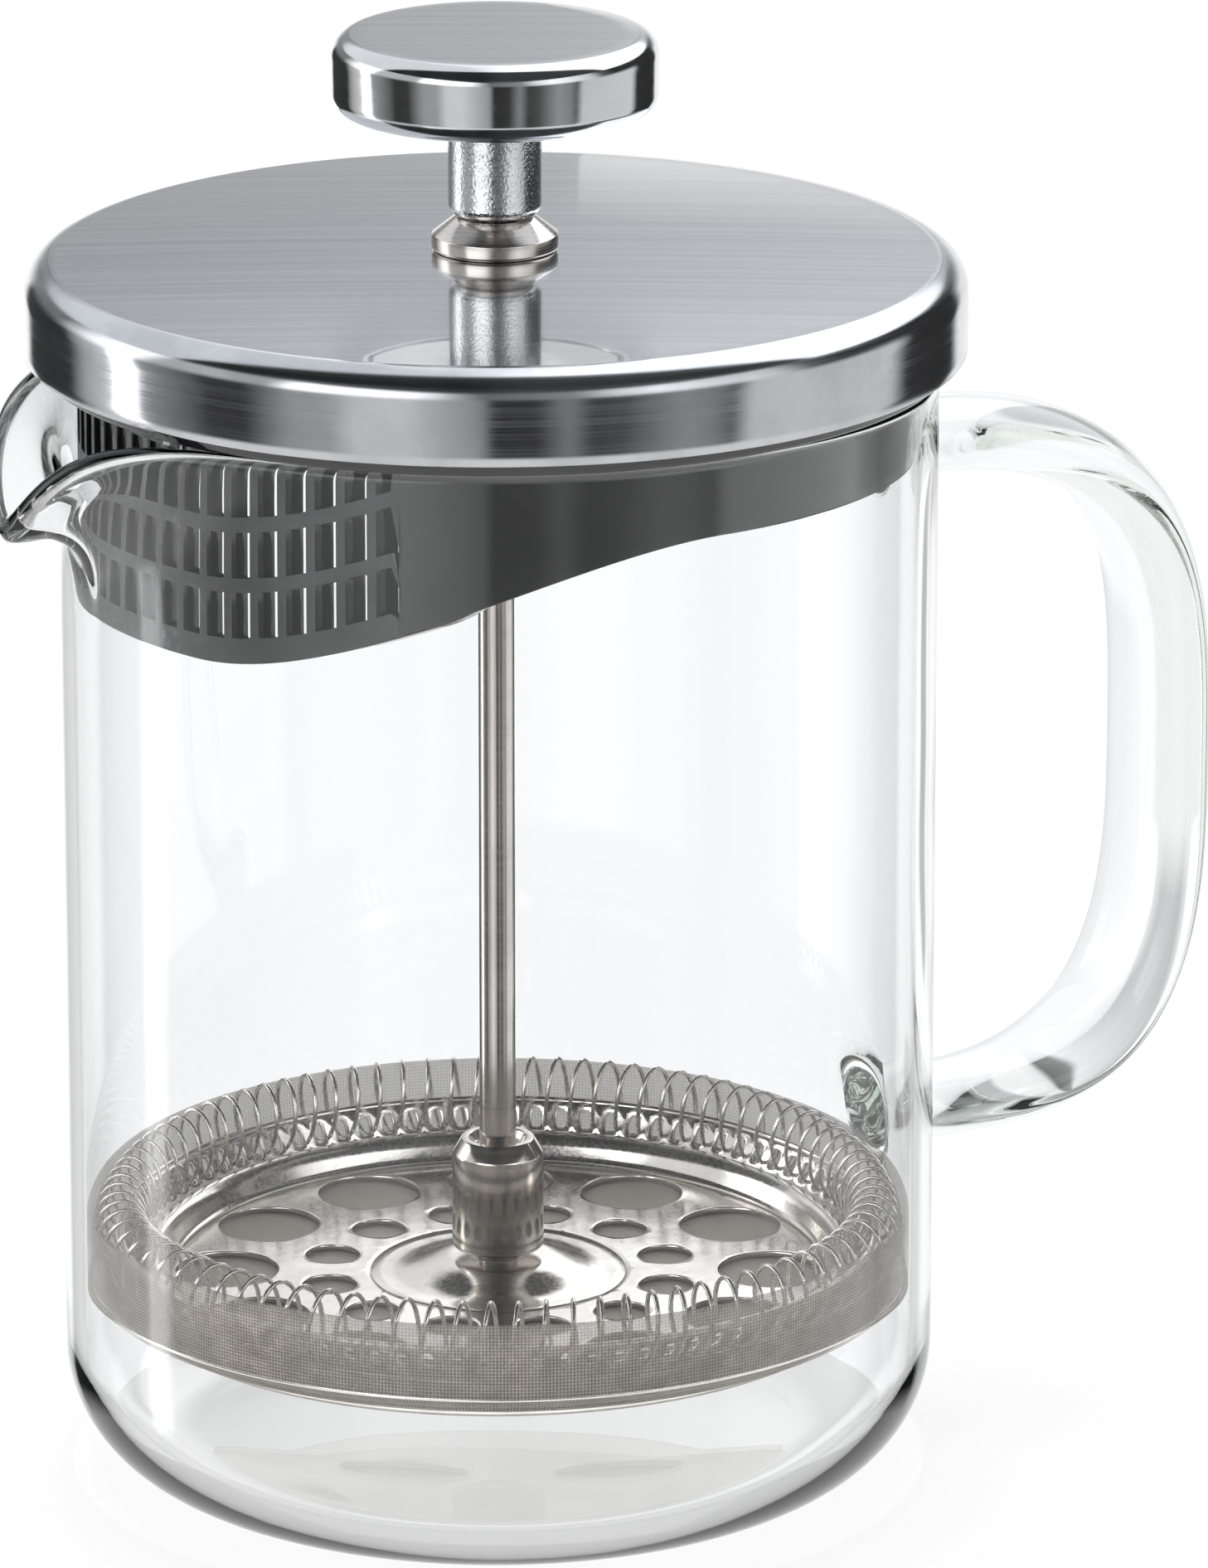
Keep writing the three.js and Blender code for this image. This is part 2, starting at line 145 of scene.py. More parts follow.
class FilterSettings(bpy.types.PropertyGroup):
    """Sizes and colours of the sprung filter."""

    sheet: length("Plate sheet", "Thickness of the spiral plate", 0.5)
    wire: length("Spring wire", "Diameter of the edge spring's wire", 0.5)
    loops: bpy.props.IntProperty(name="Loops", description="Loops in the edge spring", default=88, min=12)
    coil: length("Coil radius", "Half the width of one loop of the edge spring", 3.1)
    coil_tall: length("Coil height", "Half the height of one loop of the edge spring", 4.3)
    weave: length("Weave pitch", "Distance between the wires of the mesh", 0.26, low=1e-5)
    pressed: colour("Pressed steel", "Colour of the pressed plates and the spring", (0.90, 0.87, 0.83))
    woven: colour("Woven steel", "Colour of the woven mesh", (0.82, 0.76, 0.68))


class StageSettings(bpy.types.PropertyGroup):
    """Camera, floor and light."""

    azimuth: bearing("Azimuth", "Camera's turn round the press", -27.0)
    elevation: bearing("Elevation", "Camera's height as an angle", 16.853)
    distance: length("Distance", "From the camera to the point it looks at", 1143.6)
    look_height: length("Look height", "Height of the point the camera looks at", 76.5)
    sideways: length("Sideways", "How far the camera stands to the right of the press", 11.61, low=-1.0)
    lens: bpy.props.FloatProperty(
        name="Focal length",
        description="Focal length of the lens",
        default=242.5,
        min=1.0,
        subtype="DISTANCE_CAMERA",
    )
    floor: colour("Floor", "Colour of the floor", (0.95, 0.95, 0.955))


# ------------------------------------------------------------------ outlines and surfaces
def arc(centre_r, centre_z, radius, start, end, count=9):
    """Points of a circle in the section plane, from angle start to end in degrees."""
    angle = np.radians(np.linspace(start, end, count))
    return np.stack([centre_r + radius * np.cos(angle), centre_z + radius * np.sin(angle)], -1)


def outline(*parts):
    """One array of points from arrays and single points, in order."""
    return np.concatenate([np.atleast_2d(np.asarray(part, float)) for part in parts])


def eased(points, radius, steps=4):
    """Rounds the corners of a closed outline.

    Each corner B between A and C is replaced by the curve (1-t)^2 P + 2t(1-t) B + t^2 Q, where P and Q lie
    on AB and BC at the radius from B, but no further than 45% of either side.
    """
    before, after = np.roll(points, 1, 0), np.roll(points, -1, 0)
    back, ahead = before - points, after - points
    back_long = np.linalg.norm(back, axis=1, keepdims=True)
    ahead_long = np.linalg.norm(ahead, axis=1, keepdims=True)
    reach = np.minimum(radius, 0.45 * np.minimum(back_long, ahead_long))
    first = points + back / np.maximum(back_long, 1e-9) * reach
    last = points + ahead / np.maximum(ahead_long, 1e-9) * reach
    t = np.linspace(0, 1, steps)[None, :, None]
    curve = (1 - t) ** 2 * first[:, None] + 2 * t * (1 - t) * points[:, None] + t**2 * last[:, None]
    return curve.reshape(-1, 2)


def smooth_step(low, high, value):
    """0 below low, 1 above high and 3t^2 - 2t^3 between them."""
    t = np.clip((value - low) / (high - low), 0, 1)
    return t * t * (3 - 2 * t)


def grid_faces(across, along, wrap_across=False, wrap_along=False):
    """Quads of a grid of points, as one index array. Wrapping joins the last line to the first."""
    columns = np.arange(across if wrap_across else across - 1)
    rows = np.arange(along if wrap_along else along - 1)
    i, j = np.meshgrid(columns, rows, indexing="ij")
    i_next, j_next = (i + 1) % across, (j + 1) % along
    corners = [i * along + j, i_next * along + j, i_next * along + j_next, i * along + j_next]
    return np.stack(corners, -1).reshape(-1, 4)


def revolved(section, count=160):
    """A section turned about Z: the point (r, z) goes to (r cos a, r sin a, z) for every angle a."""
    angle = np.linspace(0, 2 * np.pi, count, endpoint=False)[:, None]
    r, z = section[None, :, 0], section[None, :, 1] + 0 * angle
    return np.stack([r * np.cos(angle), r * np.sin(angle), z], -1)


def swept_tube(path, radius, sides=8):
    """A closed tube round a closed path: path + radius (N cos b + B sin b).

    N points from the path's own axis, Z, outwards as far as it stands square to the path, and B is the
    path's direction crossed with N.
    """
    along = np.roll(path, -1, 0) - np.roll(path, 1, 0)
    along /= np.linalg.norm(along, axis=1, keepdims=True)
    guide = np.roll(path, -2, 0) + np.roll(path, 2, 0) - 2 * path
    normal = guide - (guide * along).sum(1, keepdims=True) * along
    normal /= np.linalg.norm(normal, axis=1, keepdims=True)
    side = np.cross(along, normal)
    turn = np.linspace(0, 2 * np.pi, sides, endpoint=False)[None, :, None]
    return path[:, None] + radius * (normal[:, None] * np.cos(turn) + side[:, None] * np.sin(turn))


def add_piece(name, body, replaced, finish, points, faces, smooth=True, weld=1e-4):
    """Puts a finished mesh at the origin, in metres, and hands it to the frame."""
    piece = link_blank(name, points.reshape(-1, 3) * MM, faces.tolist())
    mesh = piece.data
    shape = bmesh.new()
    shape.from_mesh(mesh)
    bmesh.ops.remove_doubles(shape, verts=shape.verts, dist=weld * MM)
    shape.to_mesh(mesh)
    shape.free()
    mesh.polygons.foreach_set("use_smooth", np.full(len(mesh.polygons), smooth))
    for material in finish if isinstance(finish, (list, tuple)) else [finish]:
        mesh.materials.append(material)
    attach(piece, body)
    if replaced:
        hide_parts(*replaced)
    return piece


def add_turned(name, body, replaced, finish, section, closed=True, count=160):
    """A turned piece. A closed section is a ring, and an open one starts and ends on the axis."""
    points = revolved(section, count)
    faces = grid_faces(count, len(section), wrap_across=True, wrap_along=closed)
    return add_piece(name, body, replaced, finish, points, faces)


def link_blank(name, points, faces):
    """A bare object in the scene, from points in metres."""
    mesh = bpy.data.meshes.new(name)
    mesh.from_pydata(points.tolist(), [], faces)
    piece = bpy.data.objects.new(name, mesh)
    bpy.context.scene.collection.objects.link(piece)
    return piece


def point_faces_out(mesh, upwards=False):
    """Turns a mesh's faces outwards. An open sheet has no outside, and its faces are turned upwards."""
    shape = bmesh.new()
    shape.from_mesh(mesh)
    bmesh.ops.recalc_face_normals(shape, faces=shape.faces)
    if upwards and sum(face.normal.z for face in shape.faces) < 0:
        bmesh.ops.reverse_faces(shape, faces=shape.faces)
    shape.to_mesh(mesh)
    shape.free()


def face_values(mesh, kind):
    """The centres or normals of a mesh's faces, one row each."""
    values = np.empty(len(mesh.polygons) * 3)
    mesh.polygons.foreach_get(kind, values)
    return values.reshape(-1, 3)


def paint_faces(mesh, numbers):
    """Gives each face the material of its number."""
    mesh.polygons.foreach_set("material_index", numbers.astype(np.int32))


def settle_modifiers(piece):
    """Applies a piece's modifiers to its mesh."""
    with bpy.context.temp_override(object=piece, active_object=piece, selected_objects=[piece]):
        for modifier in list(piece.modifiers):
            bpy.ops.object.modifier_apply(modifier=modifier.name)


# ------------------------------------------------------------------ finishes
class Finish:
    """A material being mixed: it adds nodes and joins them."""

    def __init__(self, name):
        self.material = bpy.data.materials.new(name)
        self.material.use_nodes = True
        self.tree = self.material.node_tree
        self.shader = self.tree.nodes["Principled BSDF"]
        self.out = self.tree.nodes["Material Output"]
        self.place = self.add("ShaderNodeTexCoord").outputs["Object"]

    def add(self, kind, **values):
        """A new node; a name that is a socket sets the socket, and any other sets the node."""
        node = self.tree.nodes.new(kind)
        for name, value in values.items():
            title = name.replace("_", " ").title()
            if title in node.inputs:
                node.inputs[title].default_value = value
            else:
                setattr(node, name, value)
        return node

    def join(self, source, target):
        """Joins an output to an input."""
        self.tree.links.new(source, target)

    def set(self, **values):
        """Sets sockets of the shader itself."""
        for name, value in values.items():
            title = name.replace("_", " ").title().replace("Ior", "IOR")
            self.shader.inputs[title].default_value = value

    def stretched(self, stretch, turn=0.0, source=None):
        """Object coordinates turned back about Z by an angle, and then stretched."""
        mapping = self.add("ShaderNodeMapping", vector_type="TEXTURE")
        mapping.inputs["Rotation"].default_value = (0, 0, turn)
        mapping.inputs["Scale"].default_value = tuple(1 / times for times in stretch)
        self.join(source or self.place, mapping.inputs["Vector"])
        return mapping.outputs["Vector"]

    def noise(self, vector, scale, detail=3.0, roughness=0.55):
        """Noise at a place, as a number round 0.5."""
        node = self.add("ShaderNodeTexNoise", scale=scale, detail=detail, roughness=roughness)
        self.join(vector, node.inputs["Vector"])
        return node.outputs["Fac"]

    def between(self, fac, low, high, fac_low=0.35, fac_high=0.65):
        """A number between low and high, led by fac."""
        node = self.add("ShaderNodeMapRange", interpolation_type="SMOOTHSTEP")
        limits = {"From Min": fac_low, "From Max": fac_high, "To Min": low, "To Max": high}
        for title, value in limits.items():
            node.inputs[title].default_value = value
        self.join(fac, node.inputs["Value"])
        return node.outputs["Result"]

    def blend(self, fac, first, second):
        """A colour between first and second, led by fac."""
        node = self.add("ShaderNodeMix", data_type="RGBA")
        node.inputs[6].default_value = (*first, 1)
        node.inputs[7].default_value = (*second, 1)
        self.join(fac, node.inputs[0])
        return node.outputs[2]

    def bump(self, height, distance, strength=1.0, under=None):
        """A bump of a height in metres."""
        node = self.add("ShaderNodeBump", strength=strength, distance=distance)
        self.join(height, node.inputs["Height"])
        if under is not None:
            self.join(under, node.inputs["Normal"])
        return node.outputs["Normal"]

    def wear(self, rgb, scale=90.0, change=0.12):
        """The colour with slow, faint patches, as handled steel has."""
        patches = self.noise(self.place, scale, detail=4.0)
        darker = tuple(c * (1 - change) for c in rgb)
        worn = self.blend(self.between(patches, 0.0, 1.0), darker, rgb)
        self.join(worn, self.shader.inputs["Base Color"])


def clear_glass(edge_tint):
    """Clear glass, faintly wavy, with a tint in long ways through it, and painted shade where a look grazes
    it: there its colour darkens to grey.
    """
    mix = Finish("clear_glass")
    mix.set(roughness=0.012, ior=1.47, transmission_weight=1.0)
    facing = mix.add("ShaderNodeLayerWeight", blend=0.5).outputs["Facing"]
    # Painted shade: the glass's colour turns dark grey where a look grazes its surface.
    painted_edge_shade = mix.between(facing, 0.0, 1.0, 0.84, 0.98)
    mix.join(mix.blend(painted_edge_shade, (1.0, 1.0, 1.0), (0.25, 0.26, 0.27)), mix.shader.inputs["Base Color"])
    waves = mix.noise(mix.place, 28.0, detail=1.0)
    mix.join(mix.bump(waves, 0.0006, 0.2), mix.shader.inputs["Normal"])
    tint = mix.add("ShaderNodeVolumeAbsorption", density=7.0)
    tint.inputs["Color"].default_value = (*edge_tint, 1)
    mix.join(tint.outputs["Volume"], mix.out.inputs["Volume"])
    return mix.material


def brushed_steel(rgb, turn):
    """Steel brushed in straight lines, clear enough to mirror what stands on it."""
    mix = Finish("brushed_steel_top")
    mix.set(metallic=1.0, anisotropic=0.45, anisotropic_rotation=0.25)
    mix.set(coat_weight=1.0, coat_roughness=0.02, coat_ior=4.0)
    lines = mix.noise(mix.stretched((12.0, 3600.0, 12.0), turn), 1.0, detail=3.0)
    soft = mix.noise(mix.stretched((6.0, 700.0, 6.0), turn), 1.0, detail=2.0)
    light = mix.blend(mix.between(soft, 0.0, 1.0), tuple(c * 0.91 for c in rgb), rgb)
    mix.join(light, mix.shader.inputs["Base Color"])
    mix.join(mix.between(lines, 0.13, 0.19), mix.shader.inputs["Roughness"])
    mix.join(mix.bump(lines, 0.0000015, 0.4), mix.shader.inputs["Normal"])
    tangent = mix.add(
        "ShaderNodeVectorTransform", vector_type="VECTOR", convert_from="OBJECT", convert_to="WORLD"
    )
    tangent.inputs["Vector"].default_value = (math.cos(turn), math.sin(turn), 0.0)
    mix.join(tangent.outputs["Vector"], mix.shader.inputs["Tangent"])
    return mix.material


def ring_brushed_steel(rgb, name, roughness=(0.08, 0.16), anisotropic=0.5, line=0.000003):
    """Steel brushed or turned round the Z axis: the lines follow the height and the radius."""
    mix = Finish(name)
    mix.set(metallic=1.0, anisotropic=anisotropic, anisotropic_rotation=0.25)
    apart = mix.add("ShaderNodeSeparateXYZ")
    mix.join(mix.place, apart.inputs["Vector"])
    square = mix.add("ShaderNodeVectorMath", operation="MULTIPLY")
    mix.join(mix.place, square.inputs[0])
    square.inputs[1].default_value = (1, 1, 0)
    radius = mix.add("ShaderNodeVectorMath", operation="LENGTH")
    mix.join(square.outputs["Vector"], radius.inputs[0])
    together = mix.add("ShaderNodeCombineXYZ")
    mix.join(radius.outputs["Value"], together.inputs["X"])
    mix.join(apart.outputs["Z"], together.inputs["Z"])
    fine = mix.stretched((2600.0, 1.0, 2600.0), source=together.outputs["Vector"])
    lines = mix.noise(fine, 1.0, detail=2.0)
    mix.wear(rgb, 110.0, 0.14)
    mix.join(mix.between(lines, *roughness), mix.shader.inputs["Roughness"])
    mix.join(mix.bump(lines, line, 0.6), mix.shader.inputs["Normal"])
    tangent = mix.add("ShaderNodeTangent", direction_type="RADIAL", axis="Z")
    mix.join(tangent.outputs["Tangent"], mix.shader.inputs["Tangent"])
    return mix.material


def polished_steel(rgb):
    """Polished steel with faint wiping marks."""
    mix = Finish("polished_steel")
    mix.set(metallic=1.0)
    mix.wear(rgb, 70.0, 0.08)
    marks = mix.noise(mix.stretched((300.0, 300.0, 900.0)), 1.0, detail=4.0)
    mix.join(mix.between(marks, 0.05, 0.11), mix.shader.inputs["Roughness"])
    mix.join(mix.bump(marks, 0.000004, 0.4), mix.shader.inputs["Normal"])
    return mix.material


def cast_steel(rgb):
    """Polished casting that keeps the pebbled skin of its mould."""
    mix = Finish("cast_steel")
    mix.set(metallic=1.0)
    mix.wear(rgb, 150.0, 0.1)
    pebbles = mix.noise(mix.place, 3200.0, detail=1.0, roughness=0.5)
    mix.join(mix.between(pebbles, 0.08, 0.16), mix.shader.inputs["Roughness"])
    mix.join(mix.bump(pebbles, 0.00006, 0.8), mix.shader.inputs["Normal"])
    return mix.material


def pressed_steel(rgb):
    """Satin sheet with the soft waves that pressing leaves."""
    mix = Finish("pressed_steel")
    mix.set(metallic=1.0)
    mix.wear(rgb, 120.0, 0.16)
    waves = mix.noise(mix.place, 130.0, detail=2.0)
    grain = mix.noise(mix.place, 2500.0, detail=2.0)
    mix.join(mix.between(grain, 0.12, 0.22), mix.shader.inputs["Roughness"])
    under = mix.bump(waves, 0.0004, 0.25)
    mix.join(mix.bump(grain, 0.000008, 0.5, under), mix.shader.inputs["Normal"])
    return mix.material


def spring_wire(rgb):
    """Drawn wire with small changes of tone."""
    mix = Finish("spring_wire")
    mix.set(metallic=1.0)
    mix.wear(rgb, 700.0, 0.2)
    drawn = mix.noise(mix.place, 3000.0, detail=2.0)
    mix.join(mix.between(drawn, 0.18, 0.3), mix.shader.inputs["Roughness"])
    mix.join(mix.bump(drawn, 0.000008, 0.5), mix.shader.inputs["Normal"])
    return mix.material


def woven_steel(rgb, name, metallic, alpha, gap_shade):
    """Fine woven wire with painted shade between the wires, where its colour drops to a share, gap_shade, of
    itself.

    Its UV map counts wires, and the height is sin(pi u) sin(pi v) on the weave's diamonds.
    """
    mix = Finish(name)
    mix.set(metallic=metallic, alpha=alpha)
    weave = mix.add("ShaderNodeUVMap", uv_map="weave").outputs["UV"]
    apart = mix.add("ShaderNodeSeparateXYZ")
    mix.join(weave, apart.inputs["Vector"])

    def wave(socket):
        turn = mix.add("ShaderNodeMath", operation="MULTIPLY")
        mix.join(socket, turn.inputs[0])
        turn.inputs[1].default_value = math.pi
        node = mix.add("ShaderNodeMath", operation="SINE")
        mix.join(turn.outputs[0], node.inputs[0])
        return node.outputs[0]

    both = mix.add("ShaderNodeMath", operation="MULTIPLY")
    mix.join(wave(apart.outputs["X"]), both.inputs[0])
    mix.join(wave(apart.outputs["Y"]), both.inputs[1])
    height = both.outputs[0]
    # Painted shade: the colour darkens between the wires, where the weave's height is low.
    dark = tuple(c * gap_shade for c in rgb)
    mix.join(mix.blend(mix.between(height, 0.0, 1.0, -0.5, 0.4), dark, rgb), mix.shader.inputs["Base Color"])
    tone = mix.noise(mix.place, 400.0, detail=3.0)
    mix.join(mix.between(tone, 0.34, 0.46), mix.shader.inputs["Roughness"])
    mix.join(mix.bump(height, 0.00008, 0.7), mix.shader.inputs["Normal"])
    return mix.material


def black_plastic(rgb, name, roughness, grain, depth):
    """Black moulding: glossy where the tool was polished, grained where it was spark-eroded."""
    mix = Finish(name)
    mix.set(ior=1.5, specular_ior_level=0.8)
    patches = mix.noise(mix.place, 80.0, detail=3.0)
    lighter = tuple(min(1.0, c * 1.5 + 0.003) for c in rgb)
    mix.join(mix.blend(mix.between(patches, 0.0, 1.0), rgb, lighter), mix.shader.inputs["Base Color"])
    skin = mix.noise(mix.place, grain, detail=2.0)
    mix.join(mix.between(skin, roughness, roughness * 1.5), mix.shader.inputs["Roughness"])
    mix.join(mix.bump(skin, depth, 0.6), mix.shader.inputs["Normal"])
    return mix.material


def pale_floor(rgb, name, glow):
    """Plain pale floor with the faintest change of tone, mostly lit from within so that it stays even."""
    mix = Finish(name)
    mix.set(roughness=0.6, specular_ior_level=0.0, emission_strength=glow, emission_color=(1, 1, 1, 1))
    tone = mix.noise(mix.place, 3.0, detail=2.0)
    mix.join(mix.blend(tone, tuple(c * 0.97 for c in rgb), rgb), mix.shader.inputs["Base Color"])
    return mix.material


# ------------------------------------------------------------------ glass
LIP_START = 97.0  # height at which the wall starts to lean out into the lip
REACH_SPREAD = math.radians(18.6)
DROP_SPREAD = math.radians(12.7)


def wall_middle(angle, z, glass):
    """Middle of the wall at an angle from the lip and a height.

    With v the share of the way up from the start of the lip, the radius grows by reach v^3 and the
    height eases off as 1 - (1 - v)^1.8, so that the wall bends over into the lip. Reach and drop fade
    round the rim as exp(-|angle / spread|^power).
    """
    wall, drop_most = glass.wall / MM, glass.lip_drop / MM
    tall = BEAKER_HIGH[2] - wall / 2 - LIP_START
    v = np.clip((z - LIP_START) / tall, 0, 1)
    reach = glass.lip_reach / MM * np.exp(-np.abs(angle / REACH_SPREAD) ** 1.8)
    drop = drop_most * np.exp(-np.abs(angle / DROP_SPREAD) ** 1.5)
    r = BEAKER_HIGH[1] - wall / 2 + reach * v**3
    sunk = tall * v - (tall - drop) * (1 - (1 - v) ** 1.8)
    return np.stack([-r * np.cos(angle), r * np.sin(angle), z - sunk * drop / drop_most], -1)


def beaker_surface(glass, count=360):
    """The whole skin of the beaker, from the middle of its foot over the rim to the middle of its floor.

    A plain section is carried round Z. Above the start of the lip each point keeps its depth in the wall:
    it goes to M + depth N + above T, with M the wall's middle, N its outward normal and T its upward
    direction. Depth and above grow by half at the lip's edge, which leaves a rounded bead there.
    """
    wall, floor, base_round = glass.wall / MM, glass.floor / MM, glass.base_round / MM
    outer = BEAKER_HIGH[1]
    inner, inner_round = outer - wall, base_round - wall
    rim = BEAKER_HIGH[2] - wall / 2
    rows = np.linspace(LIP_START, rim - 0.2, 26)
    section = outline(
        np.stack([np.linspace(0, outer - base_round - 3, 8), np.zeros(8)], -1),
        arc(outer - base_round, base_round, base_round, -90, 0, 16),
        np.stack([np.full(14, outer), np.linspace(base_round + 5, LIP_START - 4, 14)], -1),
        np.stack([np.full_like(rows, outer), rows], -1),
        arc(outer - wall / 2, rim, wall / 2, 0, 180, 11),
        np.stack([np.full_like(rows, inner), rows[::-1]], -1),
        np.stack([np.full(14, inner), np.linspace(LIP_START - 4, floor + inner_round + 5, 14)], -1),
        arc(inner - inner_round, floor + inner_round, inner_round, 0, -90, 14),
        np.stack([np.linspace(inner - inner_round - 3, 0, 8), np.full(8, floor)], -1),
    )
    t = np.linspace(-np.pi, np.pi, count, endpoint=False)
    closer_at_lip = t - 0.5 * np.sin(t)
    angle = closer_at_lip[:, None] + 0 * section[None, :, 0]
    r, z = section[None, :, 0] + 0 * angle, section[None, :, 1] + 0 * angle
    plain = np.stack([-r * np.cos(angle), r * np.sin(angle), z], -1)
    held = np.minimum(z, rim)
    step = 0.01
    middle = wall_middle(angle, held, glass)
    up = middle - wall_middle(angle, held - step, glass)
    around = wall_middle(angle + step, held, glass) - wall_middle(angle - step, held, glass)
    out = np.cross(up, around)
    up /= np.linalg.norm(up, axis=-1, keepdims=True)
    out /= np.linalg.norm(out, axis=-1, keepdims=True)
    bead_spread, bead_low, bead_full = 0.42, rim - 4.5, rim - 0.8
    bead = 1 + 0.5 * np.exp(-((angle / bead_spread) ** 2)) * smooth_step(bead_low, bead_full, held)
    depth, above = bead * (r - (outer - wall / 2)), bead * (z - held)
    drawn = middle + out * depth[..., None] + up * above[..., None]
    points = np.where((z >= LIP_START)[..., None], drawn, plain)
    return points, grid_faces(count, len(section), wrap_across=True)[:, ::-1]


def handle_surface(glass, count=150, sides=48):
    """The handle from wall to wall.

    Its middle line is half a superellipse, |x/a|^n + |z/b|^n = 1 with n from 2.94 above to 3.3 below, in
    steps a little shorter at the roots. The section is an oval whose width grows from root to grip, and at
    each root it flares as a fillet does, by f - sqrt(f^2 - (f - d)^2) at a distance d from the wall. Near
    the wall the section bends round it and sinks into it, so that the two can be fused.
    """
    wall_x = BEAKER_HIGH[1]
    thick = glass.handle_thickness / MM / 2
    wide = glass.handle_width / MM / 2
    reach = HANDLE_HIGH[0] - thick - wall_x
    middle = (HANDLE_LOW[2] + HANDLE_HIGH[2]) / 2
    rise = (HANDLE_HIGH[2] - HANDLE_LOW[2]) / 2 - thick
    t = np.linspace(np.pi / 2, -np.pi / 2, 4001)
    power = 2 / (3.12 - 0.18 * np.sin(t))
    line_x = wall_x + reach * np.abs(np.cos(t)) ** power
    line_z = middle + rise * np.sign(np.sin(t)) * np.abs(np.sin(t)) ** power
    line = np.stack([line_x, line_z], -1)
    gone = np.concatenate([[0], np.cumsum(np.linalg.norm(np.diff(line, axis=0), axis=1))])
    share = np.linspace(0, 1, count)
    stepped = (share - 0.1 * np.sin(2 * np.pi * share) / 2) * gone[-1]
    x, z = np.interp(stepped, gone, line_x), np.interp(stepped, gone, line_z)
    along = np.gradient(np.stack([x, z], -1), axis=0)
    along /= np.linalg.norm(along, axis=1, keepdims=True)
    fillet, root_share = 3.2, 0.66
    d = np.clip(x - wall_x, 0, fillet)
    flare = fillet - np.sqrt(np.maximum(fillet**2 - (fillet - d) ** 2, 0))
    half_wide = wide * (root_share + (1 - root_share) * smooth_step(50, 76, x)) + flare
    half_thick = thick + flare
    turn = np.linspace(0, 2 * np.pi, sides, endpoint=False)[None]
    across = half_wide[:, None] * np.sign(np.cos(turn)) * np.abs(np.cos(turn)) ** 0.9
    inside = half_thick[:, None] * np.sign(np.sin(turn)) * np.abs(np.sin(turn)) ** 0.9
    px = x[:, None] - along[:, 1:2] * inside
    pz = z[:, None] + along[:, 0:1] * inside
    near = 1 - smooth_step(0, 9, px - wall_x)
    sunk = 0.7 * (1 - smooth_step(0, 0.8, px - wall_x))
    px = px + (np.sqrt(wall_x**2 - across**2) - wall_x) * near - sunk
    return np.stack([px, across, pz], -1), grid_faces(count, sides, wrap_along=True)


class PRESS_OT_glass(bpy.types.Operator):
    """Build the beaker and its fused handle as one piece of clear glass"""

    bl_idname = "press.glass"
    bl_label = "Beaker and handle"

    def execute(self, context):
        glass = context.scene.press_glass
        finish = clear_glass(tuple(glass.edge_tint))
        points, faces = beaker_surface(glass)
        beaker = add_piece(
            "beaker_glass", "beaker", ("beaker", "handle"), finish, points, faces
        )
        points, faces = handle_surface(glass)
        count, sides = points.shape[:2]
        ends = np.stack([np.arange(sides)[::-1], np.arange(sides) + (count - 1) * sides])
        blank = link_blank("handle_blank", points.reshape(-1, 3) * MM, faces.tolist() + ends.tolist())
        point_faces_out(blank.data)
        fuse = beaker.modifiers.new("fuse", "BOOLEAN")
        fuse.operation, fuse.solver, fuse.object = "UNION", "EXACT", blank
        settle_modifiers(beaker)
        bpy.data.objects.remove(blank)
        beaker.data.polygons.foreach_set("use_smooth", np.full(len(beaker.data.polygons), True))
        return {"FINISHED"}


# ------------------------------------------------------------------ lid
class PRESS_OT_lid(bpy.types.Operator):
    """Build the steel lid"""

    bl_idname = "press.lid"
    bl_label = "Steel lid"

    def execute(self, context):
        lid = context.scene.press_lid
        sheet, edge, crown = lid.sheet / MM, lid.edge_round / MM, lid.crown / MM
        outer, low, top = LID_HIGH[0], LID_LOW[2], LID_HIGH[2]
        hole, shoulder = BUSH_HIGH[0] - 2.5, top - crown
        flat = outer - edge
        spread = np.linspace(1, hole / flat, 24)
        dome = np.stack([flat * spread, shoulder + crown * (1 - spread**2)], -1)
        section = outline(
            (outer - sheet, low + 0.2),
            arc(outer - sheet / 2, low + 0.3, sheet / 2, 200, 340, 7),
            (outer, low + 1.2),
            (outer, shoulder - edge - 0.4),
            arc(flat, shoulder - edge, edge, 0, 88, 14),
            dome,
            dome[::-1] - (0, sheet),
            arc(flat, shoulder - edge, edge - sheet, 90, 0, 10),
        )
        straight = brushed_steel(tuple(lid.steel), BRUSHED_ALONG)
        around = ring_brushed_steel(tuple(lid.steel), "brushed_steel_side", (0.10, 0.17), 0.6)
        piece = add_turned(
            "lid_shell", "lid", ("lid_cap",), (straight, around), section, count=256
        )
        radius = np.linalg.norm(face_values(piece.data, "center")[:, :2], axis=1) / MM
        paint_faces(piece.data, radius > flat + 0.5)
        return {"FINISHED"}


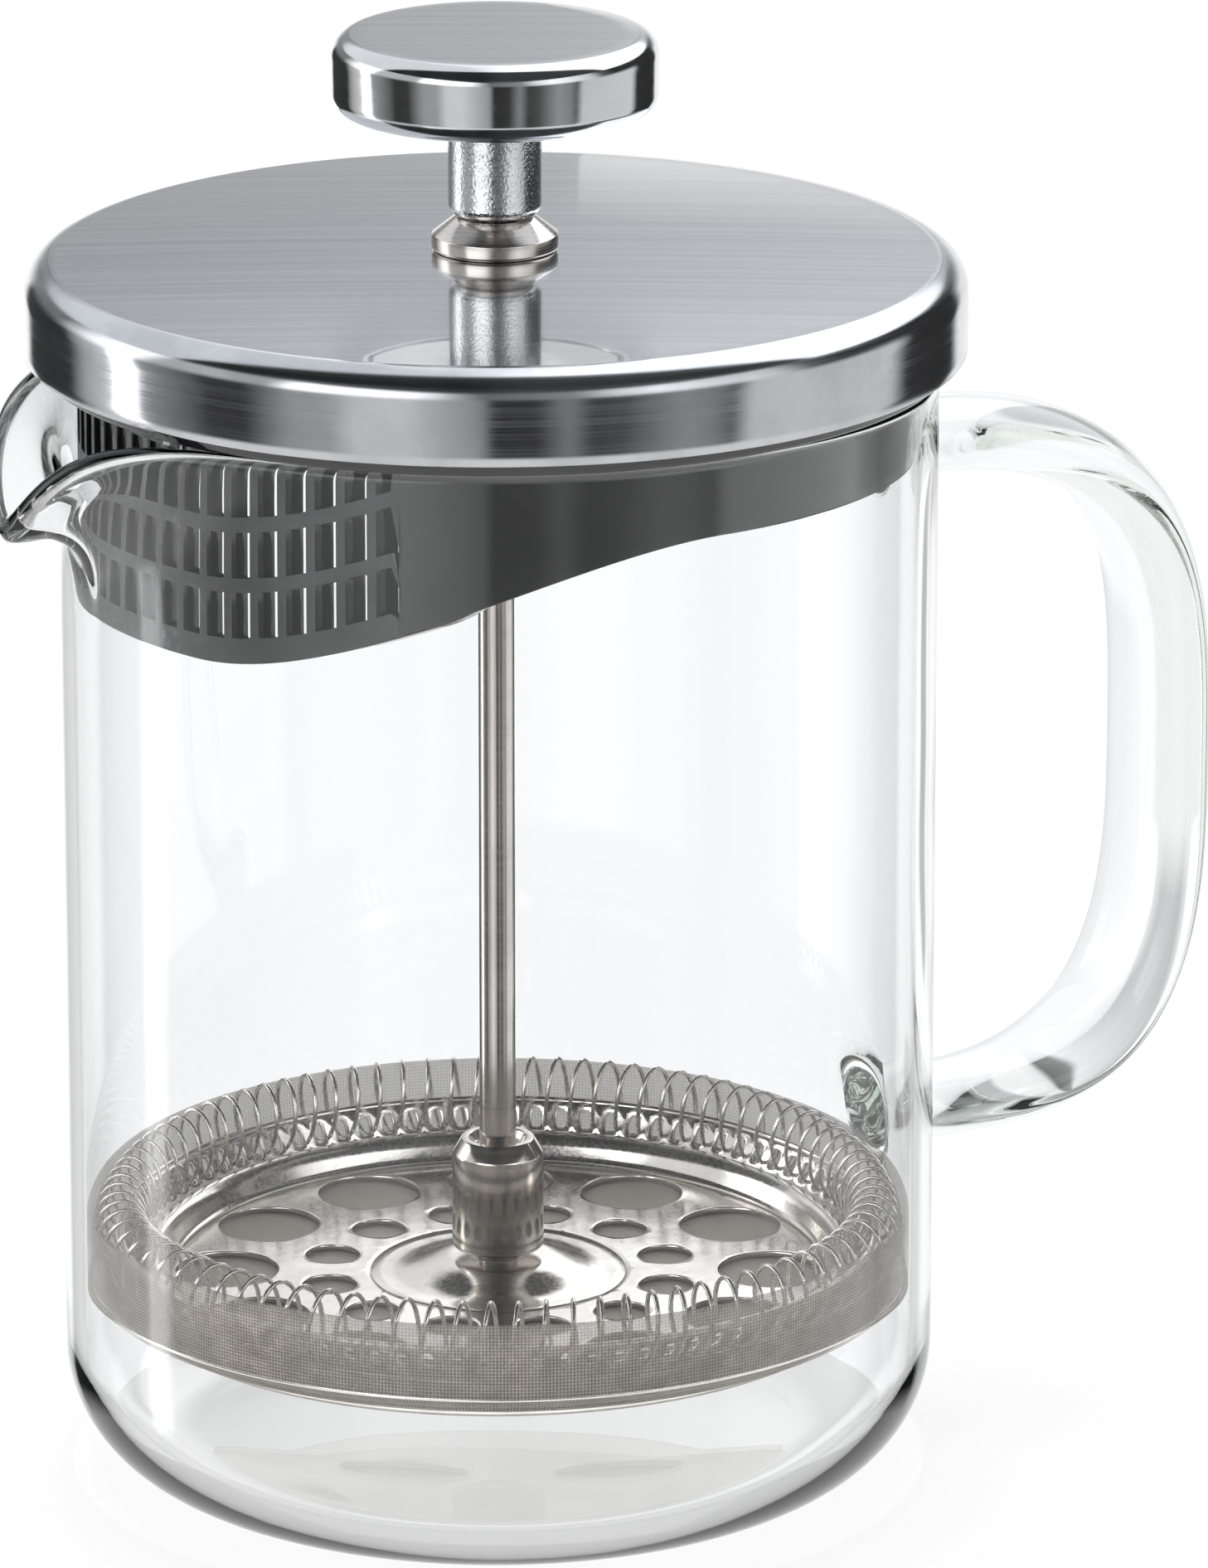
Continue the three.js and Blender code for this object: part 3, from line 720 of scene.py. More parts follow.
class PRESS_OT_guide(bpy.types.Operator):
    """Build the guide bush on the lid and the nut that holds it"""

    bl_idname = "press.guide"
    bl_label = "Guide bush and nut"

    def execute(self, context):
        turned = tuple(context.scene.press_plunger.turned)
        steel = ring_brushed_steel(turned, "turned_bush", (0.12, 0.24), 0.4)
        bore, shank, neck = ROD_HIGH[0] + 0.15, 4.0, 4.2
        flange_low = LID_HIGH[2] + 0.02
        band_top = 137.9
        section = eased(
            outline(
                (bore, BUSH_LOW[2]),
                (shank, BUSH_LOW[2]),
                (shank, flange_low),
                (BUSH_HIGH[0] - 0.25, flange_low),
                (BUSH_HIGH[0], flange_low + 0.3),
                (BUSH_HIGH[0], band_top),
                (neck, BUSH_HIGH[2]),
                (bore, BUSH_HIGH[2]),
            ),
            0.12,
        )
        add_turned("guide_bush_turned", "guide", ("guide_bush",), steel, section)
        angle = np.linspace(0, 2 * np.pi, 96, endpoint=False)[:, None]
        sixth = (angle + np.pi / 6) % (np.pi / 3) - np.pi / 6
        hexagon = NUT_HIGH[1] / np.cos(sixth)
        thread, chamfered = np.full_like(hexagon, shank + 0.2), hexagon - 0.6
        low, top = NUT_LOW[2], NUT_HIGH[2]
        r = np.concatenate([thread, chamfered, hexagon, hexagon, chamfered, thread], 1)
        z = np.broadcast_to([low, low, low + 0.4, top - 0.4, top, top], r.shape)
        turned_by = angle + np.pi / 6
        points = np.stack([r * np.cos(turned_by), r * np.sin(turned_by), z], -1)
        add_piece(
            "bush_nut_hexagon", "guide", ("bush_nut",), steel, points,
            grid_faces(96, 6, wrap_across=True, wrap_along=True), smooth=False,
        )
        return {"FINISHED"}


# ------------------------------------------------------------------ strainer
RIBS = 84  # ribs that would stand all round; the slots between them only fill the front
RIB_PITCH = 2 * np.pi / RIBS
SLOT_COLUMNS = 24
ROW_LOWS = (2.8, 9.3, 15.9)  # lower end of each row above the skirt's edge
SLOT_TALL = 4.9
SLOT_TOP = 122.2
RIM_LINE = 123.8  # height of the beaker's rim, which the insert's flange rests on


def skirt_edge(angle):
    """Height of the skirt's lower edge at an angle from the lip: low in front, rising to the handle."""
    return INSERT_LOW[2] + 14.8 * smooth_step(20, 95, np.degrees(np.abs(angle)))


def strainer_surface(slot_width, wall, rows):
    """The closed skin of the strainer.

    The outer sheet runs from the skirt's edge to the hole for the bush. Angles run round Z in steps that
    fall on the sides of every slot, and heights in lines that follow the lower edge and fall on the ends
    of every slot, so a slot is a run of missing faces. Each point P of the skirt has its inner point where
    the line along X through P meets the inner radius, as the mould's slide leaves it, which turns to the
    plain radial point away from the slots. Open edges of the two sheets are joined face by face.
    """
    skirt, flange_z = 44.8, RIM_LINE + 0.3
    half = slot_width / 2 / skirt
    centres = (np.arange(RIBS) - (SLOT_COLUMNS - 1) / 2) * RIB_PITCH
    lines = np.array([-half, -half / 3, half / 3, half, RIB_PITCH / 2])
    angle = (centres[:, None] + lines).ravel()
    angle = (angle + np.pi) % (2 * np.pi) - np.pi
    low = skirt_edge(angle)[:, None]
    stops = [0.0, 0.25, 0.9]
    first_slot = len(stops)
    for row in ROW_LOWS[:2]:
        stops += [row, row + SLOT_TALL / 2, row + SLOT_TALL]
    share = np.array(stops) / (SLOT_TOP - INSERT_LOW[2])
    fits = SLOT_TOP - low > ROW_LOWS[2] + 0.5
    skirt_z = np.where(fits, low + np.array(stops)[None], low + share[None] * (SLOT_TOP - 1.2 - low))
    third = np.where(fits, np.minimum(low + ROW_LOWS[2], SLOT_TOP - 0.4), SLOT_TOP - 0.8)
    level = np.ones_like(third)
    top = np.concatenate([third, (third + SLOT_TOP) / 2, SLOT_TOP * level, (flange_z - 0.4) * level], 1)
    z = np.concatenate([skirt_z, top], 1)
    lid_wall, land, bore = LID_HIGH[0] - 1.1, 48.2, 4.3
    rest = outline(
        arc(skirt + 0.4, flange_z - 0.4, 0.4, 180, 90, 4)[1:],
        (land, flange_z),
        arc(land, flange_z + 0.7, 0.7, -90, 0, 5)[1:],
        (lid_wall - 0.1, 125.4),
        (lid_wall, 125.9),
        (lid_wall, 131.2),
        (lid_wall - 2.8, INSERT_HIGH[2]),
        (30, INSERT_HIGH[2]),
        (bore, INSERT_HIGH[2]),
    )
    ceiling = INSERT_HIGH[2] - 1.8
    rest_inside = outline(
        np.stack([np.full(12, skirt - wall), np.linspace(flange_z, ceiling, 12)], -1),
        (30, ceiling),
        (bore, ceiling),
    )

    def carried(skirt_part, rest_part):
        """A value over the skirt, followed by the same run of values at every angle."""
        return np.concatenate([skirt_part, np.broadcast_to(rest_part, (len(angle), len(rest)))], 1)

    r = carried(np.full_like(z, skirt), rest[:, 0])
    inner_r = carried(np.full_like(z, skirt - wall), rest_inside[:, 0])
    inner_z = carried(z, rest_inside[:, 1])
    z = carried(z, rest[:, 1])
    slid = np.arcsin(np.clip(np.sin(angle) * skirt / (skirt - wall), -1, 1))
    radial = smooth_step(54, 66, np.degrees(np.abs(angle)))
    inner_angle = np.where(np.abs(angle) < 1.2, slid * (1 - radial) + angle * radial, angle)[:, None]
    outer = np.stack([-r * np.cos(angle)[:, None], r * np.sin(angle)[:, None], z], -1)
    inner = np.stack([-inner_r * np.cos(inner_angle), inner_r * np.sin(inner_angle), inner_z], -1)
    across, along = z.shape
    faces = grid_faces(across, along, wrap_across=True)[:, ::-1].reshape(across, along - 1, 4)
    column, part = np.divmod(np.arange(across), len(lines))
    in_slot = (column < SLOT_COLUMNS) & (part < 3)
    rings = np.arange(along - 1)
    open_rows = np.zeros(along - 1, bool)
    for row in range(min(rows, 2)):
        start = first_slot + 3 * row
        open_rows |= (rings >= start) & (rings < start + 2)
    if rows > 2:
        open_rows |= (rings >= len(stops)) & (rings < len(stops) + 2)
    tall_enough = (fits[:, 0] & np.roll(fits[:, 0], -1))[:, None] | (rings < len(stops))[None]
    kept = ~(in_slot[:, None] & open_rows[None] & tall_enough)
    grained = (column < SLOT_COLUMNS)[:, None] & (rings < len(stops) + 2)[None]
    sheet = faces[kept]
    a, b = sheet, np.roll(sheet, -1, 1)
    size = across * along
    lone = ~np.isin(a * size + b, b * size + a)
    a, b = a[lone], b[lone]
    edges = np.stack([b, a, a + size, b + size], -1)
    all_faces = np.concatenate([sheet, sheet[:, ::-1] + size, edges])
    finish = np.concatenate([grained[kept], np.zeros(len(sheet) + len(edges), bool)])
    return np.concatenate([outer.reshape(-1, 3), inner.reshape(-1, 3)]), all_faces, finish


class PRESS_OT_strainer(bpy.types.Operator):
    """Build the black strainer insert with its rows of pouring slots"""

    bl_idname = "press.strainer"
    bl_label = "Strainer insert"

    def execute(self, context):
        strainer = context.scene.press_strainer
        rgb = tuple(strainer.plastic)
        gloss = black_plastic(rgb, "black_gloss", 0.05, 1200.0, 0.000003)
        grained = black_plastic(tuple(c + 0.05 for c in rgb), "black_grained", 0.42, 1800.0, 0.00005)
        points, faces, window = strainer_surface(
            strainer.slot_width / MM, strainer.wall / MM, strainer.rows
        )
        piece = add_piece(
            "strainer_moulding", "lid", ("strainer_insert",), (gloss, grained),
            points, faces, weld=1e-6,
        )
        paint_faces(piece.data, window)
        edge = piece.modifiers.new("edges", "BEVEL")
        edge.width, edge.segments, edge.limit_method = 0.14 * MM, 2, "ANGLE"
        edge.angle_limit = math.radians(40)
        settle_modifiers(piece)
        return {"FINISHED"}


# ------------------------------------------------------------------ knob, rod and hub
class PRESS_OT_knob(bpy.types.Operator):
    """Build the knob, its closing plate and the cast sleeve under it"""

    bl_idname = "press.knob"
    bl_label = "Knob and sleeve"

    def execute(self, context):
        plunger = context.scene.press_plunger
        polished = polished_steel(tuple(plunger.polished))
        brushed = brushed_steel(tuple(c * 0.95 for c in plunger.polished), BRUSHED_ALONG)
        edge = plunger.knob_round / MM
        outer, low, top = KNOB_HIGH[0], KNOB_LOW[2], KNOB_HIGH[2]
        flat = outer - edge
        section = outline(
            (0, top - 1),
            (flat, top - 1),
            arc(flat, top - edge, edge - 1, 80, 0, 5),
            arc(flat, low + edge, edge - 1, 0, -80, 5),
            (flat, low + 1),
            (flat, low + 0.1),
            arc(flat, low + edge, edge, -88, 0, 14),
            arc(flat, top - edge, edge, 0, 88, 14),
            np.stack([np.linspace(flat, 0, 10)[1:], np.full(9, top)], -1),
        )
        knob = add_turned(
            "knob_shell", "plunger", ("knob_cap",), (polished, brushed), section,
            closed=False, count=192,
        )
        centres = face_values(knob.data, "center") / MM
        paint_faces(knob.data, (np.linalg.norm(centres[:, :2], axis=1) < flat) & (centres[:, 2] > top - 0.3))
        bore, plate_r, plate_low, plate_top = ROD_HIGH[0] + 0.05, flat - 0.15, low + 0.15, low + 1.1
        plate = eased(
            outline((bore, plate_low), (plate_r, plate_low), (plate_r, plate_top), (bore, plate_top)), 0.2
        )
        add_turned("knob_plate", "plunger", ("knob_base",), polished, plate)
        cast = cast_steel(tuple(plunger.polished))
        sleeve_r, sleeve_low = SLEEVE_HIGH[0], BUSH_HIGH[2] + 0.05
        sleeve = outline(
            (bore, sleeve_low),
            arc(sleeve_r - 1.2, sleeve_low + 1.3, 1.2, -90, 0, 9),
            arc(sleeve_r, low - 0.2, 0.35, 180, 90, 5) + (0.35, 0),
            (sleeve_r + 0.35, low + 0.2),
            (bore, low + 0.2),
        )
        add_turned("sleeve_cast", "plunger", ("knob_sleeve",), cast, sleeve)
        return {"FINISHED"}


class PRESS_OT_rod(bpy.types.Operator):
    """Build the plunger rod and the hub that it screws into"""

    bl_idname = "press.rod"
    bl_label = "Rod and hub"

    def execute(self, context):
        turned = tuple(context.scene.press_plunger.turned)
        rod_steel = ring_brushed_steel(turned, "rod_steel", (0.10, 0.16), 0.3, 0.0000015)
        rod_r = ROD_HIGH[0]
        rod = outline(
            (0, ROD_LOW[2]),
            (rod_r - 0.3, ROD_LOW[2]),
            (rod_r, ROD_LOW[2] + 0.3),
            np.stack([np.full(30, rod_r), np.linspace(ROD_LOW[2] + 1, ROD_HIGH[2] - 0.2, 30)], -1),
            (rod_r - 0.3, ROD_HIGH[2]),
            (0, ROD_HIGH[2]),
        )
        add_turned(
            "rod_drawn", "plunger", ("plunger_rod",), rod_steel, rod, closed=False, count=64
        )
        hub_steel = ring_brushed_steel(turned, "hub_steel", (0.07, 0.13), 0.35, 0.0000012)
        outer, low, top = HUB_HIGH[0], HUB_LOW[2], HUB_HIGH[2]
        hub = eased(
            outline(
                (rod_r + 0.03, low),
                (outer - 0.25, low),
                (outer, low + 0.3),
                (outer, top - 1.7),
                (outer - 1.05, top),
                (3.2, top),
                (2.7, top - 1.0),
                (rod_r + 0.03, top - 1.0),
            ),
            0.15,
        )
        add_turned("hub_turned", "plunger", ("filter_hub",), hub_steel, hub, count=128)
        return {"FINISHED"}


# ------------------------------------------------------------------ filter
RING_STEPS = 264  # points round the plate; both 12 and 88 divide it


def holed_band(cells, inner_r, outer_r, shift, height, hole_r, ring_r, rings):
    """A flat or sloping band with a round hole in each cell.

    Round one cell the border is walked once. Its point B faces the hole's point H at the same angle, and
    the skin between them is H + (B - H) t^1.2. The other cells are the same, turned about Z. The holes'
    middles lie on a ring of radius ring_r, the first one turned by shift.
    """
    span = 2 * np.pi / cells
    arc_steps = RING_STEPS // cells
    side_steps = max(3, arc_steps // 2)
    across = np.linspace(-span / 2, span / 2, arc_steps, endpoint=False)
    down = np.linspace(inner_r, outer_r, side_steps, endpoint=False)
    angle = np.concatenate([across, np.full(side_steps, span / 2), -across, np.full(side_steps, -span / 2)])
    back_up = down[::-1] + down[1] - down[0]
    radius = np.concatenate([np.full(arc_steps, inner_r), down, np.full(arc_steps, outer_r), back_up])
    border = np.stack([radius * np.cos(angle), radius * np.sin(angle)], -1)
    towards = np.arctan2(border[:, 1], border[:, 0] - ring_r)
    hole = (ring_r, 0.0) + hole_r * np.stack([np.cos(towards), np.sin(towards)], -1)
    t = (np.linspace(0, 1, rings) ** 1.2)[None, :, None]
    flat = hole[:, None] + (border - hole)[:, None] * t
    turn = (np.arange(cells) * span + shift)[:, None, None]
    x = flat[None, ..., 0] * np.cos(turn) - flat[None, ..., 1] * np.sin(turn)
    y = flat[None, ..., 0] * np.sin(turn) + flat[None, ..., 1] * np.cos(turn)
    z = height(np.hypot(x, y))
    points = np.stack([x, y, z], -1)
    one = grid_faces(len(angle), rings, wrap_across=True)
    faces = one[None] + (np.arange(cells) * len(angle) * rings)[:, None, None]
    return points.reshape(-1, 3), faces.reshape(-1, 4)


def plain_band(radii, height):
    """A band of the plate without holes: rings of points at the radii, on the plate's height."""
    angle = np.linspace(0, 2 * np.pi, RING_STEPS, endpoint=False)[:, None]
    r = np.asarray(radii, float)[None]
    points = np.stack([r * np.cos(angle), r * np.sin(angle), height(r) + 0 * angle], -1)
    return points.reshape(-1, 3), grid_faces(RING_STEPS, len(radii), wrap_across=True)[:, ::-1]


def plate_height(r):
    """Height of the spiral plate's face: a low cone in the middle, a flat, a bead and an upturned rim.

    The cone and the bead rise and fall by smooth steps over r, and the rim by the 1.1th power of its share.
    """
    flat, cone_tall, bead_rise, bead_fall, rim_tall = 21.1, 1.8, 2.7, 0.9, 4.2
    cone = cone_tall * (1 - smooth_step(5.2, 11.6, r))
    bead = bead_rise * smooth_step(36.0, 37.7, r) - bead_fall * smooth_step(38.2, 39.4, r)
    rim = rim_tall * np.clip((r - 39.5) / 2.2, 0, 1) ** 1.1
    return flat + cone + bead + rim


def joined(*parts):
    """Several point and face arrays as one pair."""
    points, faces, start = [], [], 0
    for p, f in parts:
        points.append(p)
        faces.append(f + start)
        start += len(p)
    return np.concatenate(points), np.concatenate(faces)


class PRESS_OT_spiral_plate(bpy.types.Operator):
    """Build the perforated spiral plate"""

    bl_idname = "press.spiral_plate"
    bl_label = "Spiral plate"

    def execute(self, context):
        filter_set = context.scene.press_filter
        steel = pressed_steel(tuple(filter_set.pressed))
        large_turn = math.radians(3)
        small_turn = large_turn + math.radians(15)
        points, faces = joined(
            plain_band([2.1, 3.5, 5.0, 5.6, 6.4, 7.4, 8.6, 9.8, 10.9, 11.7, 12.8, 14.0], plate_height),
            holed_band(12, 14.0, 23.6, small_turn, plate_height, hole_r=3.0, ring_r=19.0, rings=5),
            holed_band(12, 23.6, 35.9, large_turn, plate_height, hole_r=5.7, ring_r=29.8, rings=5),
            plain_band(
                [35.9, 36.2, 36.6, 37.0, 37.4, 37.8, 38.2, 38.5, 38.8, 39.1, 39.4, 39.7], plate_height
            ),
            holed_band(88, 39.7, 41.5, 0.0, plate_height, hole_r=0.62, ring_r=40.6, rings=3),
            plain_band([41.5, 41.8, 42.0], plate_height),
        )
        piece = add_piece(
            "spiral_plate_pressed", "plunger", ("spiral_plate",), steel,
            points, faces, weld=2e-3,
        )
        point_faces_out(piece.data, upwards=True)
        solid = piece.modifiers.new("sheet", "SOLIDIFY")
        solid.thickness, solid.offset, solid.use_even_offset = filter_set.sheet, -1.0, True
        edge = piece.modifiers.new("edges", "BEVEL")
        edge.width, edge.segments, edge.limit_method = 0.1 * MM, 1, "ANGLE"
        edge.angle_limit = math.radians(50)
        settle_modifiers(piece)
        return {"FINISHED"}


class PRESS_OT_edge_spring(bpy.types.Operator):
    """Build the coiled spring round the plate's edge"""

    bl_idname = "press.edge_spring"
    bl_label = "Edge spring"

    def execute(self, context):
        filter_set = context.scene.press_filter
        loops, coil, wire = filter_set.loops, filter_set.coil / MM, filter_set.wire / MM
        ring_r, ring_z = MESH_HIGH[0] - 0.6 - coil, 27.8
        turn = np.linspace(0, 2 * np.pi, loops * 22, endpoint=False)
        wind = loops * turn
        uneven = 0.25 * np.sin(3 * turn + 0.6) + 0.18 * np.sin(7 * turn)
        r = ring_r + (coil - wire / 2) * np.cos(wind + uneven)
        z = ring_z + (filter_set.coil_tall / MM - wire / 2) * np.sin(wind + uneven)
        path = np.stack([r * np.cos(turn), r * np.sin(turn), z], -1)
        points = swept_tube(path, wire / 2, sides=6)
        faces = grid_faces(*points.shape[:2], wrap_across=True, wrap_along=True)
        piece = add_piece(
            "edge_spring_coil", "plunger", ("edge_spring",),
            spring_wire(tuple(filter_set.pressed)), points, faces, weld=1e-6,
        )
        point_faces_out(piece.data)
        return {"FINISHED"}


class PRESS_OT_mesh_filter(bpy.types.Operator):
    """Build the cup of fine woven mesh"""

    bl_idname = "press.mesh_filter"
    bl_label = "Mesh filter"

    def execute(self, context):
        filter_set = context.scene.press_filter
        pitch = filter_set.weave / MM
        outer, low, top = MESH_HIGH[0], MESH_LOW[2], MESH_HIGH[2]
        sheet = 0.4
        inner = outer - sheet
        section = outline(
            np.stack([np.linspace(2.2, 42.0, 12), np.full(12, low)], -1),
            (43.4, low + 0.7),
            (44.5, low + 1.7),
            (outer, low + 2.4),
            np.stack([np.full(6, outer), np.linspace(low + 2.9, top - 0.2, 6)], -1),
            (outer - 0.1, top),
            (inner + 0.1, top),
            np.stack([np.full(6, inner), np.linspace(top - 0.2, low + 3.0, 6)], -1),
            (44.1, low + 2.1),
            (43.1, low + 1.1),
            np.stack([np.linspace(41.9, 2.2, 12), np.full(12, low + sheet)], -1),
        )
        count = 256
        points = revolved(section, count)
        faces = grid_faces(count, len(section), wrap_across=True, wrap_along=True)
        woven = tuple(filter_set.woven)
        # Painted light: the mesh's floor and inner side take a lighter copy of the woven colour, with
        # lighter painted shade between the wires, than its outer band.
        painted_light_woven = tuple(min(1.0, 1.15 * c) for c in woven)
        band = woven_steel(woven, "woven_steel_band", 1.0, 0.44, 0.35)
        bottom = woven_steel(painted_light_woven, "woven_steel_bottom_painted_light", 0.2, 0.9, 0.7)
        inside = woven_steel(painted_light_woven, "woven_steel_inside_painted_light", 0.2, 0.45, 0.7)
        piece = add_piece(
            "mesh_filter_woven", "plunger", ("mesh_filter",), (band, bottom, inside),
            points, faces,
        )
        mesh = piece.data
        corner = np.empty(len(mesh.loops), np.int32)
        mesh.loops.foreach_get("vertex_index", corner)
        place = np.empty(len(mesh.vertices) * 3)
        mesh.vertices.foreach_get("co", place)
        x, y, z = (place.reshape(-1, 3)[corner] / MM).T
        flat_r = 42.6
        on_wall = np.hypot(x, y).reshape(-1, 4).mean(1) > flat_r
        angle = np.arctan2(y, x).reshape(-1, 4)
        start = angle[:, :1]
        angle = (start + (angle - start + np.pi) % (2 * np.pi) - np.pi).ravel()
        wall_corner = np.repeat(on_wall, 4)
        u = np.where(wall_corner, angle * outer / pitch, x / pitch)
        v = np.where(wall_corner, z / pitch, y / pitch)
        normal_x, normal_y = face_values(mesh, "normal")[:, :2].T
        faces_in = normal_x * x[::4] + normal_y * y[::4] < -1.0
        paint_faces(mesh, np.where(on_wall, 2 * faces_in, 1))
        layer = mesh.uv_layers.new(name="weave")
        layer.data.foreach_set("uv", np.stack([u + v, u - v], -1).ravel() * math.sqrt(0.5))
        hem_r, hem_z = 44.75, low + 2.35
        hem = arc(hem_r, hem_z, 0.28, 0, 330, 12)
        add_turned(
            "mesh_hem", "plunger", (), pressed_steel(tuple(filter_set.pressed)), hem, count=200
        )
        return {"FINISHED"}


class PRESS_OT_cross_plate(bpy.types.Operator):
    """Build the cross plate under the mesh and the nut that holds the stack"""

    bl_idname = "press.cross_plate"
    bl_label = "Cross plate and nut"

    def execute(self, context):
        steel = pressed_steel(tuple(context.scene.press_filter.pressed))
        top, low = CROSS_HIGH[2], CROSS_LOW[2]
        outer = CROSS_HIGH[0]

        def level(r):
            return top + 0 * r

        points, faces = joined(
            plain_band([2.2, 5.0, 9.0, 13.0, 15.0], level),
            holed_band(6, 15.0, 35.0, math.radians(30), level, hole_r=7.5, ring_r=25.0, rings=6),
            plain_band([35.0, 36.5, 38.0, 39.2, outer - 0.2], level),
        )
        piece = add_piece(
            "cross_plate_pressed", "plunger", ("cross_plate",), steel, points, faces, weld=2e-3
        )
        point_faces_out(piece.data, upwards=True)
        solid = piece.modifiers.new("sheet", "SOLIDIFY")
        solid.thickness, solid.offset = (top - low) * MM, -1.0
        settle_modifiers(piece)
        turned = tuple(context.scene.press_plunger.turned)
        turned = ring_brushed_steel(turned, "nut_steel", (0.14, 0.24), 0.3)
        bore, nut_r, nut_low, nut_top = 2.1, CROSS_NUT_HIGH[0], CROSS_NUT_LOW[2], CROSS_NUT_HIGH[2] + 0.3
        nut = eased(
            outline(
                (bore, nut_low),
                (nut_r - 0.8, nut_low),
                (nut_r, nut_low + 0.9),
                (nut_r, nut_top),
                (bore, nut_top),
            ),
            0.25,
        )
        add_turned("cross_nut_turned", "plunger", ("cross_plate_nut",), turned, nut, count=96)
        return {"FINISHED"}


# ------------------------------------------------------------------ stage
# Angle from the camera's side to the right, in degrees, and brightness of the cards that stand all
# round.
CARDS_AROUND = (
    (-180, 1.4), (-158, 1.2), (-154, 0.05), (-125, 0.04), (-118, 0.5), (-106, 0.9), (-104, 4.0), (-98, 4.0),
    (-95, 0.45), (-78, 0.16), (-73, 0.05), (-62, 0.05), (-50, 0.42), (-40, 0.45), (-33, 0.85), (-22, 0.85),
    (-3, 0.42), (0, 0.03), (11, 0.05), (18, 0.3), (24, 0.06), (32, 0.1), (46, 0.38), (55, 0.3), (60, 0.14),
    (65, 0.75), (112, 0.85), (119, 0.04), (148, 0.03), (154, 1.1), (180, 1.4),
)
# The same for the cards a little above them, which the lid throws on the sleeve.
CARDS_RAISED = (
    (-180, 0.4), (-150, 0.26), (-132, 0.26), (-124, 0.8), (-108, 2.2), (-96, 2.2), (-90, 0.7), (-56, 0.6),
    (-50, 2.2), (-30, 2.2), (-18, 1.8), (-8, 0.6), (-2, 0.2), (20, 0.35), (30, 1.0), (42, 1.5), (62, 1.1),
    (74, 0.8), (83, 0.15), (95, 0.04), (150, 0.04), (165, 0.3), (180, 0.4),
)
# What a look that turns round inside the glass comes out to.
CARDS_INSIDE = (
    (-180, 1.0), (-172, 0.9), (-168, 0.2), (-158, 0.3), (-154, 0.95), (-149, 0.9), (-118, 0.6), (-112, 0.9),
    (-105, 3.2), (-98, 3.2), (-94, 0.9), (-70, 0.3), (-30, 0.1), (0, 0.04), (40, 0.1), (70, 0.4), (95, 0.9),
    (110, 0.9), (118, 0.55), (144, 0.55), (152, 1.0), (180, 1.0),
)
FLOOR_CARD = 0.95  # brightness of the floor where it is mirrored
# Angle from the far horizon over the top to the camera's side, and brightness of the cards overhead.
CARDS_ABOVE = (
    (0, 0.46), (14, 0.48), (17.5, 0.6), (20, 1.1), (25, 1.6), (84, 1.6), (90, 0.05), (140, 0.04), (160, 0.2),
    (180, 0.3),
)
# The same for what the filter mirrors.
CARDS_OVER_FILTER = (
    (0, 0.8), (16, 0.9), (25, 1.2), (38, 1.2), (45, 0.04), (140, 0.03), (160, 0.2), (180, 0.3),
)


